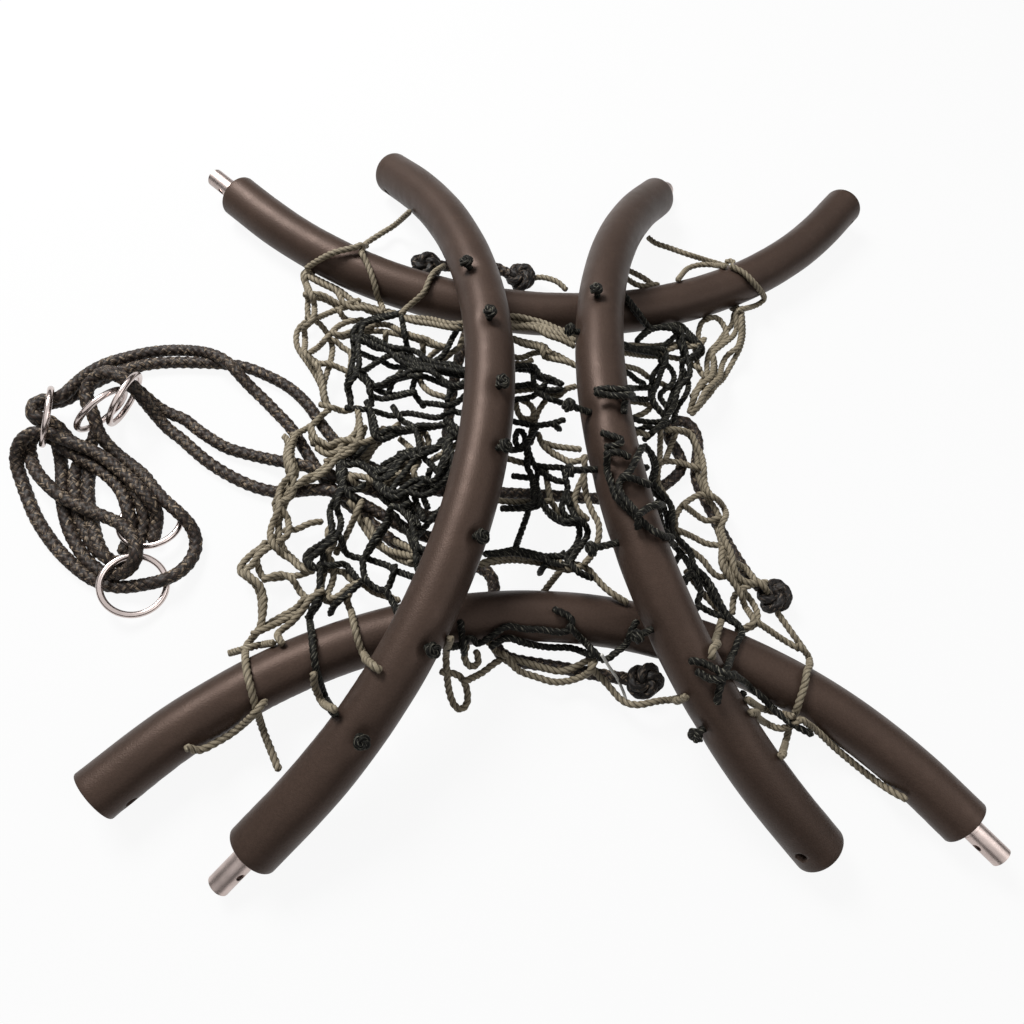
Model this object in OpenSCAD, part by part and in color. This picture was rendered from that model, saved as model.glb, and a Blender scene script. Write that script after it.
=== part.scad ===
// Round net swing kit, taken apart: four foam-covered quarter tubes with
// plug-in ends, the cord net that is laced to two of them, four hanging
// ropes, five steel rings and a tie. Millimetres, +Z up, floor at z = 0.

/* [Tubes] */
// Bend radius of a quarter tube, to its centre line
bend_r = 454; // [440:1:470]
// Straight length at each end of a quarter tube
straight = 33; // [28:1:40]
// How much thicker the straight ends are than the bend, in radius
seam = 0.25; // [0.2:0.05:0.4]
// Outside diameter of the steel tube
tube_d = 22; // [20:0.5:26]
// Wall of the steel tube
tube_wall = 1.5; // [1:0.25:2.5]
// Thickness of the foam sleeve
foam_t = 10.9; // [9:0.1:11.5]
// Gap between the foam sleeve and the steel tube
foam_gap = 0.1; // [0.05:0.05:0.2]

/* [Spigots] */
// Visible length of the plug-in end
spigot_out = 36; // [30:1:44]
// Length of the plug-in end that sits inside its tube
spigot_in = 30; // [15:1:45]
// Radial gap between the plug-in end and the tube that holds it
spigot_gap = 0.15; // [0.1:0.05:0.3]
// How much thinner the plug-in end is inside its tube, in radius
spigot_step = 0.2; // [0.2:0.05:0.4]
// How far the thinner part reaches out of the tube's mouth
spigot_neck = 7; // [1:0.5:12]
// Wall of the plug-in end
spigot_wall = 1.6; // [1.2:0.2:3]
// Diameter of the cross holes that take the locking screw
cross_d = 6.5; // [5:0.5:8]
// Distance of the cross hole from the joint of two tubes
cross_at = 17.5; // [14:0.5:22]
// Angle of the cross hole to the plane of the bend
cross_angle = 0; // [-20:5:20]
// Diameter of the opening in the foam over a cross hole
foam_hole_d = 9; // [8.5:0.5:12]

/* [Rings] */
// Outside diameter of a steel ring
ring_d = 56; // [52:1:58]
// Wire diameter of a steel ring
ring_wire = 5.5; // [4:0.5:6]
// Gap between the two rings that lie side by side
ring_gap = 3; // [2:0.5:6]

/* [Cords] */
// Diameter of the hanging rope
rope_d = 10; // [8:0.5:10.5]
// Diameter of the net cord
net_d = 5.5; // [4:0.5:6.5]
// Clearance that the net cords keep from the foam
net_gap = 0.6; // [0.2:0.1:1.2]
// Diameter of the lacing holes through foam and steel
lace_hole_d = 7; // [6.8:0.1:9]
// Diameter of a stopper knot in the net cord
stopper_d = 12.5; // [10:0.5:14]
// Diameter of the white tie
tie_d = 3; // [2:0.5:4]

/* [Hidden] */
$fn = 64;

// ---- Derived sizes -------------------------------------------------------
tube_r = tube_d / 2;
bore_r = tube_r - tube_wall;
foam_in_r = tube_r + foam_gap;
foam_r = foam_in_r + foam_t;
spigot_r = bore_r - spigot_gap;
// The lying tubes rest on the floor
lying_z = foam_r;
turn = 90;
lap = 1;
net_r = net_d / 2;
// Lowest centre line of a net cord, and its least distance from a tube's
floor_gap = 0.2;
net_low = net_r + floor_gap;
net_off = foam_r + net_r + net_gap;
rope_r = rope_d / 2;
ring_r = (ring_d - ring_wire) / 2;
net_sides = 6;
rope_sides = 8;

// ---- Where the four tubes lie: [middle point], [roll, lean, heading] -------
// Local X points outwards from the bend, local Y runs along the tube.
pose_a = [[72, 169, lying_z], [0, 0, -84.6]];
pose_b = [[-20, -8, lying_z + 79.3], [-0.1, -30.8, -4.4]];
pose_c = [[84, -15, lying_z + 82.45], [-0.15, -32.1, 187.4]];
pose_d = [[47, -156, lying_z], [0, 0, 88.8]];
poses = [pose_a, pose_b, pose_c, pose_d];

// Lacing: [distance along the tube, angle round it, how far out the knot sits]
laces_b = [[156, 85, 29], [90, 60, 29], [20, 40, 29], [-34, 20, 29],
    [-108, 20, 29], [-196, 20, 29], [-272, 40, 29]];
laces_c = [[-132, 40, 29], [-100, -20, 29], [-12, 0, 44], [36, -20, 44],
    [98, -20, 44], [168, -20, 34], [250, -20, 29]];
// Inner end of a lacing cord, from the tube's centre line, and the bead there
lace_in = 29;
lace_bead = 0.4;

// ---- Vectors ---------------------------------------------------------------
function unit(v) = v / max(norm(v), 1e-9);
function xy(p) = [p[0], p[1]];
function clip(v, lo, hi) = min(max(v, lo), hi);

// Rotation as rotate([a, b, c]) does it
function turned(v, r) =
    let (
        a = r[0], b = r[1], c = r[2],
        p = [v[0], v[1] * cos(a) - v[2] * sin(a), v[1] * sin(a) + v[2] * cos(a)],
        q = [p[0] * cos(b) + p[2] * sin(b), p[1], -p[0] * sin(b) + p[2] * cos(b)]
    )
    [q[0] * cos(c) - q[1] * sin(c), q[0] * sin(c) + q[1] * cos(c), q[2]];

// Inverse of turned()
function unturned(v, r) =
    let (
        a = -r[0], b = -r[1], c = -r[2],
        q = [v[0] * cos(c) - v[1] * sin(c), v[0] * sin(c) + v[1] * cos(c), v[2]],
        p = [q[0] * cos(b) + q[2] * sin(b), q[1], -q[0] * sin(b) + q[2] * cos(b)]
    )
    [p[0], p[1] * cos(a) - p[2] * sin(a), p[1] * sin(a) + p[2] * cos(a)];

// Centre line of a quarter tube in its own frame; u runs from -half to half
half = bend_r * PI / 4 + straight;
function bend_angle(u) = clip(u / bend_r * 180 / PI, -turn / 2, turn / 2);
function line_at(u) =
    let (t = bend_angle(u), over = u - bend_r * t * PI / 180)
    [bend_r * cos(t) - bend_r - sin(t) * over, bend_r * sin(t) + cos(t) * over, 0];
function out_at(u, phi) =
    let (t = bend_angle(u))
    [cos(t) * cos(phi), sin(t) * cos(phi), sin(phi)];
// Nearest point of a tube's centre line, in the tube's own frame
function near_line(q) =
    let (
        t = clip(atan2(q[1], q[0] + bend_r), -turn / 2, turn / 2),
        c = [bend_r * cos(t) - bend_r, bend_r * sin(t), 0],
        d = [-sin(t), cos(t), 0],
        over = (q - c) * d
    )
    c + d * ((t >= turn / 2) ? clip(over, 0, straight)
        : (t <= -turn / 2) ? clip(over, -straight, 0) : 0);

// Moves a point out of the foam of one tube, to radius r from its centre line
function off_tube(p, pose, r) =
    let (
        q = unturned(p - pose[0], pose[1]),
        c = near_line(q),
        d = norm(q - c)
    )
    d >= r ? p : pose[0] + turned(c + unit(q - c) * r, pose[1]);
function off_tubes(p, r, i = 0) =
    i == len(poses) ? p : off_tubes(off_tube(p, poses[i], r), r, i + 1);
function in_foam(p, r) =
    max([for (s = poses)
        let (q = unturned(p - s[0], s[1]))
        norm(q - near_line(q)) < r ? 1 : 0]) > 0;

// ---- Laying out cords ------------------------------------------------------
// Cords are laid out on a level plane under one eye point. A cord that lies
// higher or lower slides along its sight line, so the pattern seen stays.
eye = [-51, -341, 670];
function slide(p, level, z) =
    let (k = (eye[2] - z) / (eye[2] - level))
    [eye[0] + (p[0] - eye[0]) * k, eye[1] + (p[1] - eye[1]) * k, z];

// Height of the heaped net over the floor
heap_low = 8;
heap_rise = 40;
heap_reach = 58;
heap_wave = 5;
// The heap sinks towards the front and the back, from this far from the middle
heap_end = 300;
heap_fall = 160;
// Level at which a tube's nearness is measured on the plan
heap_plane = 50;
function plan_gap(p, pose) =
    let (q = unturned([p[0], p[1], heap_plane] - pose[0], pose[1]), c = near_line(q))
    norm(xy(pose[0] + turned(c, pose[1])) - xy(p));
function heap(p) =
    let (
        b = exp(-pow(plan_gap(p, pose_b) / heap_reach, 2)),
        c = exp(-pow(plan_gap(p, pose_c) / heap_reach, 2)),
        ends = clip((heap_end - abs(p[1])) / heap_fall, 0.1, 1)
    )
    heap_low + heap_rise * max(b, c) * ends
        + heap_wave * (1 + sin(p[0] * 5 + p[1] * 2)) * (1 + sin(p[1] * 4 - p[0] * 3)) / 2;

// A strand that lies in the heap, tucked under at both ends
tuck = 5;
function lain(s, level) =
    [for (i = [0 : len(s) - 1])
        let (
            z = heap(s[i]) - ((i == 0 || i == len(s) - 1) ? tuck : 0),
            c = off_tubes(slide(s[i], level, max(z, net_low)), net_off)
        )
        [c[0], c[1], max(c[2], net_low)]];

// A strand that passes over the tubes that it meets
step_up = 3;
drape_from = 140;
function top_z(p, level, r, z, low) =
    z <= low ? low : in_foam(slide(p, level, z), r) ? z + step_up
        : top_z(p, level, r, z - step_up, low);
function draped(s, level) =
    [for (p = s)
        let (
            low = max(heap(p), net_low),
            z = top_z(p, level, net_off, drape_from, low),
            c = off_tubes(slide(p, level, z), net_off)
        )
        [c[0], c[1], max(c[2], net_low)]];

// Twice as many points, on a smooth curve through the given ones
function finer(p) =
    [for (i = [0 : len(p) - 2])
        let (
            a = p[max(i - 1, 0)], b = p[i], c = p[i + 1], d = p[min(i + 2, len(p) - 1)]
        )
        each [b, (9 * (b + c) - a - d) / 16],
        p[len(p) - 1]];

// ---- Sweeping --------------------------------------------------------------
function tangents(p) =
    let (n = len(p) - 1)
    [for (i = [0 : n]) unit(p[min(i + 1, n)] - p[max(i - 1, 0)])];
// Side vectors carried along the path without twisting
function sides_of(t) =
    let (first = unit(cross(t[0], abs(t[0][2]) > 0.9 ? [1, 0, 0] : [0, 0, 1])))
    [for (i = 0, s = first; i < len(t);
        i = i + 1, s = i < len(t) ? unit(s - t[i] * (s * t[i])) : s) s];

module tube_along(p, r, n) {
    t = tangents(p);
    s = sides_of(t);
    m = len(p);
    points = [for (i = [0 : m - 1], k = [0 : n - 1])
        let (a = 360 * k / n)
        p[i] + r * (cos(a) * s[i] + sin(a) * cross(t[i], s[i]))];
    skin = [for (i = [0 : m - 2], k = [0 : n - 1])
        let (
            a = i * n + k, b = i * n + (k + 1) % n,
            c = (i + 1) * n + (k + 1) % n, d = (i + 1) * n + k
        )
        each [[a, c, b], [a, d, c]]];
    start = [for (k = [1 : n - 2]) [0, k, k + 1]];
    finish = [for (k = [1 : n - 2]) [(m - 1) * n, (m - 1) * n + k + 1, (m - 1) * n + k]];
    polyhedron(points, concat(skin, start, finish), convexity = 10);
}

// ---- Net strands, by place: points on the plan -----------------------------
level_side = 30;
level_middle = 20;

olive_left_upper = [
    [[-195, 205], [-203, 195], [-205, 185], [-200, 172], [-197, 160], [-196, 145],
        [-194, 133], [-200, 125], [-203, 115], [-201, 102], [-196, 93], [-190, 85],
        [-183, 75], [-177, 65], [-172, 55], [-170, 45], [-165, 36]],
    [[-196, 136], [-185, 131], [-178, 124], [-172, 115], [-168, 105], [-167, 95],
        [-168, 82], [-170, 70], [-171, 58], [-168, 45], [-163, 33]],
    [[-203, 188], [-190, 183], [-180, 178], [-168, 172], [-158, 164], [-150, 158],
        [-140, 155], [-128, 152], [-118, 150], [-108, 148]],
    [[-199, 160], [-185, 160], [-175, 156], [-165, 150], [-158, 152], [-147, 157]],
    [[-170, 120], [-160, 115], [-150, 120], [-142, 122], [-130, 125], [-118, 125],
        [-105, 123], [-92, 120], [-80, 116], [-68, 112], [-58, 112]],
    [[-174, 112], [-165, 110], [-158, 103], [-150, 98], [-148, 85], [-150, 70]],
    [[-190, 91], [-178, 83], [-170, 84], [-160, 80], [-145, 74]],
    [[-82, 119], [-80, 95], [-82, 75], [-78, 65], [-70, 58], [-60, 55], [-48, 51]],
    [[-104, 144], [-90, 142], [-75, 141], [-50, 138], [-20, 144], [10, 150], [35, 150],
        [55, 140], [75, 135], [100, 132], [122, 128]]
];
olive_left_upper_over = [
    [[-105, 283], [-120, 262], [-135, 247], [-147, 234], [-150, 222], [-145, 212],
        [-138, 195], [-133, 180], [-130, 168], [-125, 158], [-122, 150]],
    [[-146, 232], [-156, 229], [-165, 225], [-180, 218], [-195, 205], [-203, 196]],
    [[-65, 213], [-75, 203], [-80, 190], [-83, 178], [-90, 168], [-98, 158], [-105, 148]]
];
black_left_upper = [
    [[-102, 150], [-115, 146], [-128, 142], [-140, 135], [-147, 128], [-150, 120],
        [-148, 108], [-146, 98], [-147, 85], [-148, 72], [-150, 60], [-146, 48],
        [-144, 36]],
    [[-105, 152], [-102, 135], [-99, 120], [-96, 108], [-92, 100], [-88, 92], [-86, 80],
        [-87, 70], [-88, 60], [-82, 50], [-76, 42]],
    [[-150, 116], [-135, 115], [-125, 110], [-112, 105], [-100, 100], [-88, 95],
        [-78, 92], [-65, 90], [-50, 88], [-34, 84]],
    [[-148, 82], [-140, 76], [-135, 72], [-127, 65], [-122, 58], [-115, 55], [-105, 53],
        [-95, 56], [-85, 58]],
    [[-124, 62], [-115, 62], [-108, 68], [-98, 73], [-88, 76], [-75, 75], [-62, 70],
        [-50, 66], [-38, 68], [-28, 73]]
];
olive_left_lower = [
    [[-200, 2], [-196, -5], [-196, -18], [-193, -30], [-190, -42], [-192, -55],
        [-200, -62], [-198, -70], [-195, -80], [-193, -92], [-200, -102], [-210, -110],
        [-218, -120], [-220, -128], [-212, -134], [-205, -140], [-200, -150],
        [-198, -160], [-196, -172]],
    [[-190, 6], [-192, -10], [-190, -22], [-185, -33], [-188, -45], [-190, -58],
        [-192, -70], [-194, -82], [-192, -95], [-186, -108], [-178, -115],
        [-170, -122], [-160, -125]],
    [[-203, -101], [-208, -115], [-205, -125], [-200, -133], [-190, -133],
        [-180, -131], [-172, -130], [-160, -125]],
    [[-163, 33], [-168, 28], [-175, 18], [-183, 10], [-194, 3]],
    [[-172, 38], [-160, 35], [-150, 32], [-140, 36]],
    [[-178, 14], [-175, 0], [-168, -5], [-160, -8], [-150, -6], [-140, -4], [-130, -2],
        [-120, 5]],
    [[-182, -45], [-170, -36], [-160, -26], [-150, -8], [-145, 0], [-138, 8],
        [-135, 20], [-138, 37]],
    [[-148, -31], [-135, -34], [-120, -35], [-108, -32], [-95, -28], [-85, -32],
        [-72, -39]],
    [[-136, -60], [-130, -68], [-125, -78], [-118, -88], [-110, -98], [-100, -105],
        [-92, -110], [-80, -115], [-66, -118]],
    [[-152, -120], [-145, -125], [-135, -125], [-128, -132], [-118, -135],
        [-108, -142], [-98, -145], [-86, -152]],
    [[-148, -82], [-152, -90], [-148, -100], [-152, -110], [-150, -120], [-152, -135],
        [-150, -148], [-142, -152], [-132, -148], [-128, -140], [-118, -133]],
    [[-75, 22], [-78, 10], [-75, 0], [-82, -10], [-90, -20], [-95, -30], [-107, -40]]
];
olive_left_lower_over = [
    [[-128, -144], [-130, -150], [-125, -160], [-122, -170], [-117, -185], [-112, -195],
        [-105, -203], [-98, -208]]
];
black_left_lower = [
    [[-130, 44], [-125, 28], [-122, 15], [-120, 8], [-112, 4], [-105, 8], [-98, 12],
        [-88, 15], [-78, 18], [-68, 20], [-55, 24]],
    [[-148, 36], [-128, 35], [-115, 32], [-105, 30], [-92, 34], [-80, 33], [-68, 31],
        [-60, 32], [-52, 38], [-42, 38], [-30, 32]],
    [[-150, -14], [-142, -22], [-132, -20], [-122, -25], [-112, -30], [-105, -25],
        [-98, -18], [-92, -8], [-82, -5], [-72, -3], [-62, 0], [-55, 8], [-44, 12]],
    [[-150, -10], [-148, -32], [-145, -45], [-148, -55], [-152, -68], [-150, -80],
        [-148, -92], [-155, -100], [-165, -108], [-168, -115], [-162, -122],
        [-150, -124]],
    [[-118, -36], [-105, -48], [-95, -52], [-88, -45], [-80, -42], [-70, -42],
        [-62, -40], [-55, -30], [-52, -20], [-50, -8], [-52, 5], [-48, 16]],
    [[-148, -98], [-142, -92], [-138, -100], [-135, -108], [-125, -112], [-118, -112],
        [-108, -115], [-98, -118], [-92, -122], [-80, -126], [-70, -130], [-60, -134]],
    [[-120, -116], [-112, -100], [-105, -88], [-100, -78], [-98, -68], [-90, -78],
        [-82, -88], [-78, -98], [-72, -105], [-60, -105], [-48, -97]],
    [[-120, -112], [-118, -125], [-115, -132], [-108, -138], [-98, -140], [-94, -130],
        [-92, -118]],
    [[-78, -94], [-75, -90], [-68, -80], [-60, -68], [-52, -60], [-48, -50], [-51, -34]],
    [[-155, -118], [-153, -140], [-152, -152], [-156, -160], [-160, -166]]
];
black_left_lower_over = [
    [[-153, -150], [-158, -160], [-158, -168], [-155, -180], [-152, -195], [-148, -210],
        [-143, -222], [-138, -232], [-130, -243]]
];
olive_middle = [
    [[3, 152], [20, 156], [35, 153], [45, 147], [58, 143], [72, 137]],
    [[6, 136], [20, 132], [32, 130], [42, 128], [45, 122], [55, 118], [65, 112],
        [75, 106]],
    [[6, 113], [18, 112], [28, 118], [38, 121], [48, 121]],
    [[10, 72], [25, 75], [35, 76], [45, 72], [55, 70], [62, 78], [72, 82]],
    [[42, 64], [35, 52], [32, 42], [28, 30], [27, 14]],
    [[34, 26], [38, 15], [45, 8], [55, 2], [62, -2], [72, -2], [82, 3]],
    [[41, -13], [44, -35], [46, -45], [52, -55], [60, -62]],
    [[-6, -47], [12, -48], [25, -47], [35, -48], [46, -44]],
    [[79, 4], [78, -15], [74, -25], [70, -35], [68, -45], [72, -55], [80, -62]],
    [[-18, -110], [-5, -107], [8, -105], [22, -105], [38, -107], [50, -110], [62, -112],
        [72, -108]],
    [[57, -108], [48, -120], [42, -128], [36, -138]],
    [[66, -106], [78, -110], [85, -118], [93, -127], [102, -134], [112, -142]]
];
black_middle = [
    [[4, 98], [18, 98], [28, 97], [35, 90], [45, 87], [58, 84]],
    [[4, 78], [18, 79], [28, 82], [35, 78], [45, 76], [58, 78]],
    [[29, 101], [30, 88], [30, 78]],
    [[45, 91], [40, 80], [34, 74], [30, 68], [20, 64], [6, 62]],
    [[33, 76], [35, 72], [45, 66], [58, 62]],
    [[6, 38], [20, 36], [30, 34], [40, 36], [48, 38], [60, 43]],
    [[33, 34], [28, 20], [24, 12], [26, 2], [30, -8], [34, -15], [32, -25], [34, -38],
        [36, -48], [30, -52], [18, -54], [0, -55]],
    [[30, -9], [45, -10], [58, -10], [60, -20], [62, -32], [58, -42], [56, -52],
        [60, -60], [74, -65]],
    [[36, -44], [42, -56], [50, -63], [60, -67], [70, -66], [72, -75], [70, -85],
        [65, -93], [58, -99], [48, -99], [40, -100], [25, -97], [12, -95], [0, -98],
        [-14, -100]],
    [[26, -51], [22, -65], [18, -78], [14, -90], [12, -99]],
    [[56, -96], [64, -107], [70, -114], [82, -119]]
];
olive_right_upper = [
    [[157, 275], [165, 268], [180, 263], [200, 256], [220, 250], [235, 246], [246, 242]],
    [[248, 236], [246, 215], [246, 195], [244, 180], [240, 165], [232, 155],
        [222, 140], [212, 128], [208, 115], [206, 100], [198, 88], [190, 72],
        [184, 54]],
    [[253, 188], [252, 165], [250, 150], [245, 135], [238, 122], [230, 108],
        [222, 95], [215, 88], [205, 75], [195, 62], [186, 52]],
    [[132, 227], [145, 220], [155, 212], [162, 205], [175, 201], [190, 199],
        [205, 195], [216, 190]],
    [[246, 225], [235, 218], [225, 207], [215, 200], [203, 197]],
    [[216, 198], [217, 195], [215, 182], [213, 175], [207, 165], [202, 150],
        [201, 134]],
    [[208, 144], [202, 140], [190, 137], [178, 135], [165, 133], [150, 130],
        [135, 130], [118, 128]],
    [[196, 141], [197, 122], [198, 108], [203, 98], [214, 90]],
    [[118, 120], [140, 118], [155, 118], [170, 118], [185, 115], [200, 106]],
    [[118, 104], [135, 100], [145, 92], [155, 87], [168, 80]]
];
olive_right_upper_over = [
    [[248, 245], [252, 242], [262, 236], [270, 225], [278, 212], [280, 202],
        [270, 193], [258, 188], [249, 184]],
    [[186, 220], [197, 235], [210, 242], [225, 244], [240, 243]]
];
black_right_upper = [
    [[118, 178], [130, 172], [145, 166], [158, 161], [170, 157], [178, 150],
        [180, 140], [183, 125], [181, 110], [180, 98], [176, 88], [170, 78],
        [165, 65], [160, 52], [155, 40], [145, 30], [136, 20]],
    [[136, 136], [147, 150], [158, 156], [170, 157], [183, 160], [192, 150],
        [200, 140], [205, 130], [200, 122], [190, 117], [180, 114]],
    [[100, 140], [112, 133], [122, 127], [135, 124], [150, 122], [158, 120],
        [160, 112], [157, 105], [150, 95], [147, 82], [146, 70], [150, 58],
        [160, 46]],
    [[158, 114], [168, 105], [172, 95], [168, 85], [160, 78], [155, 70], [162, 58]],
    [[182, 104], [186, 90], [184, 78], [178, 68], [172, 58], [166, 42]],
    [[102, 57], [112, 50], [122, 45], [132, 41], [145, 40], [158, 42]],
    [[112, 35], [122, 33], [130, 30], [140, 35], [150, 32], [162, 42]]
];
olive_right_lower = [
    [[158, 33], [172, 32], [182, 28], [186, 18], [188, 5], [186, -8], [188, -22],
        [192, -35], [197, -45], [202, -55], [200, -68], [202, -82], [205, -95],
        [208, -108], [215, -118], [225, -122], [240, -120]],
    [[190, -8], [170, -3], [158, -2], [150, -5], [147, -15], [147, -28], [152, -38],
        [157, -48], [160, -60], [160, -72], [163, -85], [170, -94]],
    [[150, -4], [151, 10], [153, 34]],
    [[156, 0], [162, 15], [170, 34]],
    [[159, -62], [168, -48], [178, -40], [188, -35], [198, -40]],
    [[168, -46], [180, -56], [190, -62], [204, -58]],
    [[160, -72], [178, -80], [188, -85], [205, -86]],
    [[166, -88], [182, -100], [190, -112], [198, -117], [206, -112], [208, -98]],
    [[202, -88], [203, -105], [210, -118], [217, -128], [224, -138], [228, -148],
        [226, -158], [218, -163], [207, -166]],
    [[206, -98], [222, -108], [230, -118], [238, -125], [243, -138], [248, -150],
        [254, -160], [260, -170], [266, -180]],
    [[205, -150], [208, -135], [215, -128], [230, -121]],
    [[225, -156], [238, -165], [248, -172], [262, -180]]
];
olive_right_lower_over = [
    [[262, -176], [270, -188], [266, -200], [262, -212], [257, -222], [252, -232],
        [247, -240], [242, -250], [238, -260], [233, -270]],
    [[166, -112], [178, -130], [188, -142], [195, -152], [192, -162], [188, -172],
        [184, -182], [182, -190]],
    [[210, -225], [222, -232], [235, -235], [248, -238]]
];
black_right_lower = [
    [[136, 14], [142, 3], [144, -10], [140, -25], [145, -38], [150, -50], [153, -62],
        [152, -75], [157, -88], [165, -98], [172, -110], [180, -118], [186, -130],
        [193, -142], [200, -152], [210, -161]],
    [[145, -44], [146, -60], [148, -74]],
    [[126, -70], [128, -88], [122, -98], [128, -108], [135, -120], [142, -130],
        [148, -136], [155, -132], [162, -122], [172, -112]],
    [[124, -92], [128, -82], [135, -90], [145, -100], [155, -105], [162, -96]],
    [[170, -108], [176, -122], [178, -132], [174, -142], [182, -148], [192, -152],
        [205, -158]]
];
black_right_lower_over = [
    [[99, 4], [98, -15], [102, -30], [105, -42], [112, -50], [120, -58], [128, -65],
        [135, -72], [148, -80], [158, -88]],
    [[134, 12], [130, 5], [125, -5], [120, -15], [112, -22], [108, -32], [112, -42],
        [120, -52], [125, -60], [124, -72]],
    [[200, -154], [212, -165], [207, -175], [200, -188], [195, -198], [190, -208],
        [185, -220], [183, -228]],
    [[186, -206], [200, -205], [212, -213], [222, -222], [235, -235], [248, -245],
        [262, -252]]
];
olive_front_over = [
    [[-197, -150], [-196, -165], [-198, -178], [-205, -190], [-205, -200],
        [-202, -212], [-197, -225], [-190, -242], [-184, -255], [-176, -270],
        [-168, -285]],
    [[-217, -197], [-205, -193], [-195, -190], [-185, -188]],
    [[-150, -142], [-160, -150], [-165, -160], [-178, -168], [-190, -175], [-202, -181]],
    [[-42, -180], [-45, -192], [-44, -205], [-42, -220], [-38, -232], [-32, -238], [-26, -232],
        [-28, -218], [-35, -210], [-48, -208]],
    [[-30, -216], [-15, -208], [-5, -200], [5, -195], [20, -198], [35, -202],
        [50, -205], [65, -200], [80, -191]],
    [[76, -198], [80, -205], [90, -215], [102, -228], [115, -231], [130, -228], [145, -226],
        [156, -224]]
];
black_front_over = [
    [[-44, -188], [-32, -185], [-25, -178], [-20, -184], [-15, -182], [-5, -175], [5, -168],
        [20, -170], [35, -170], [50, -172], [58, -170], [62, -163], [58, -157],
        [46, -152]],
    [[-34, -165], [-32, -180], [-30, -192]],
    [[-8, -186], [5, -178], [20, -182], [40, -185], [60, -185], [78, -191]],
    [[58, -166], [72, -180], [80, -188], [88, -195], [98, -188], [108, -180],
        [112, -170], [118, -160]]
];

// ---- Hanging ropes: [x, y, height], the plan level being level_rope ----------
level_rope = 15;
route_1 = [
    [-364, -19, 5], [-366, -33, 5], [-364, -51, 5], [-359, -69, 5], [-352, -86, 8],
    [-345, -102, 14], [-337, -114, 15], [-327, -120, 10], [-317, -117, 6], [-312, -108, 5],
    [-311, -96, 5], [-310, -83, 6], [-314, -70, 10], [-321, -57, 13], [-330, -44, 13],
    [-342, -33, 13], [-354, -24, 14], [-366, -17, 15], [-379, -12, 16], [-391, -5, 17],
    [-402, 7, 23], [-414.5, 14.4, 31], [-424, 15, 34], [-430, 23, 36], [-427, 33, 37],
    [-417, 35, 34.8], [-407, 38.5, 30], [-399, 52, 23], [-389, 66, 15], [-375, 78, 9],
    [-358, 86, 7], [-340, 93, 5], [-320, 97, 5], [-300, 98, 6], [-284, 96, 11],
    [-270, 90, 15], [-260, 81, 15], [-250, 70, 11], [-239, 59, 6], [-226, 47, 5],
    [-213, 34, 5], [-200, 21, 5], [-188, 4, 5], [-176, -14, 5], [-162, -33, 5],
    [-148, -48, 5], [-130, -62, 5], [-110, -79, 5], [-90, -94, 5], [-65, -103, 5],
    [-40, -108, 6], [-18, -111, 8], [-7, -120, 7], [-5, -135, 5], [-5, -155, 5],
    [-5, -175, 5], [0, -187, 5], [12, -193, 5], [32, -196, 6], [55, -199, 7], [80, -203, 9],
    [104, -206, 10], [115, -207, 9]
];
route_2 = [
    [-322, -110, 5], [-320, -96, 5], [-321, -83, 11.5], [-327, -70, 15.5], [-333, -57, 14],
    [-342, -46, 13], [-353, -37, 14], [-365, -29, 15], [-378, -23, 15], [-390, -16, 15],
    [-401, -8, 15], [-413, -1, 16.4], [-420, -3, 14.5], [-423, -11, 10], [-419, -22, 9],
    [-414, -33, 12], [-406, -43, 16], [-396, -52, 17], [-386, -60, 17], [-372, -67, 16],
    [-358, -73, 17], [-345, -78, 20], [-332, -83, 23], [-321, -91, 27], [-314, -101, 29],
    [-311, -112, 29], [-313, -123, 22], [-321, -130, 13], [-334, -129, 7], [-347, -121, 5],
    [-359, -108, 5], [-370, -92, 5], [-378, -75, 5], [-384, -58, 5], [-388, -40, 5],
    [-393, -24, 5], [-400, -8, 6], [-405, 5, 12], [-414, 11, 18.6], [-424, 13, 20],
    [-429, 20, 20], [-426, 28, 22], [-416, 30.5, 24.3], [-403, 35, 17], [-390, 48, 10],
    [-376, 60, 5], [-359, 71, 5], [-340, 79, 5], [-320, 83, 5], [-291, 85, 5],
    [-262, 85, 5], [-245, 82, 5], [-230, 76, 5], [-215, 69, 5], [-200, 59, 5],
    [-184, 43, 5], [-172, 26, 5], [-155, 6, 5], [-132, -12, 5], [-108, -23, 5],
    [-84, -33, 5], [-56, -38, 5], [-20, -37, 5], [40, -37, 5], [90, -38, 5], [122, -35, 5],
    [148, -26, 5], [165, -14, 5], [177, 1, 5], [173, 18, 5], [165, 33, 6], [170, 49, 8],
    [183, 53, 8], [193, 42, 7], [195, 25, 5], [191, 4, 5], [190, -15, 5], [200, -42, 5],
    [214, -78, 5], [232, -112, 8], [240, -119, 9]
];
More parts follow.
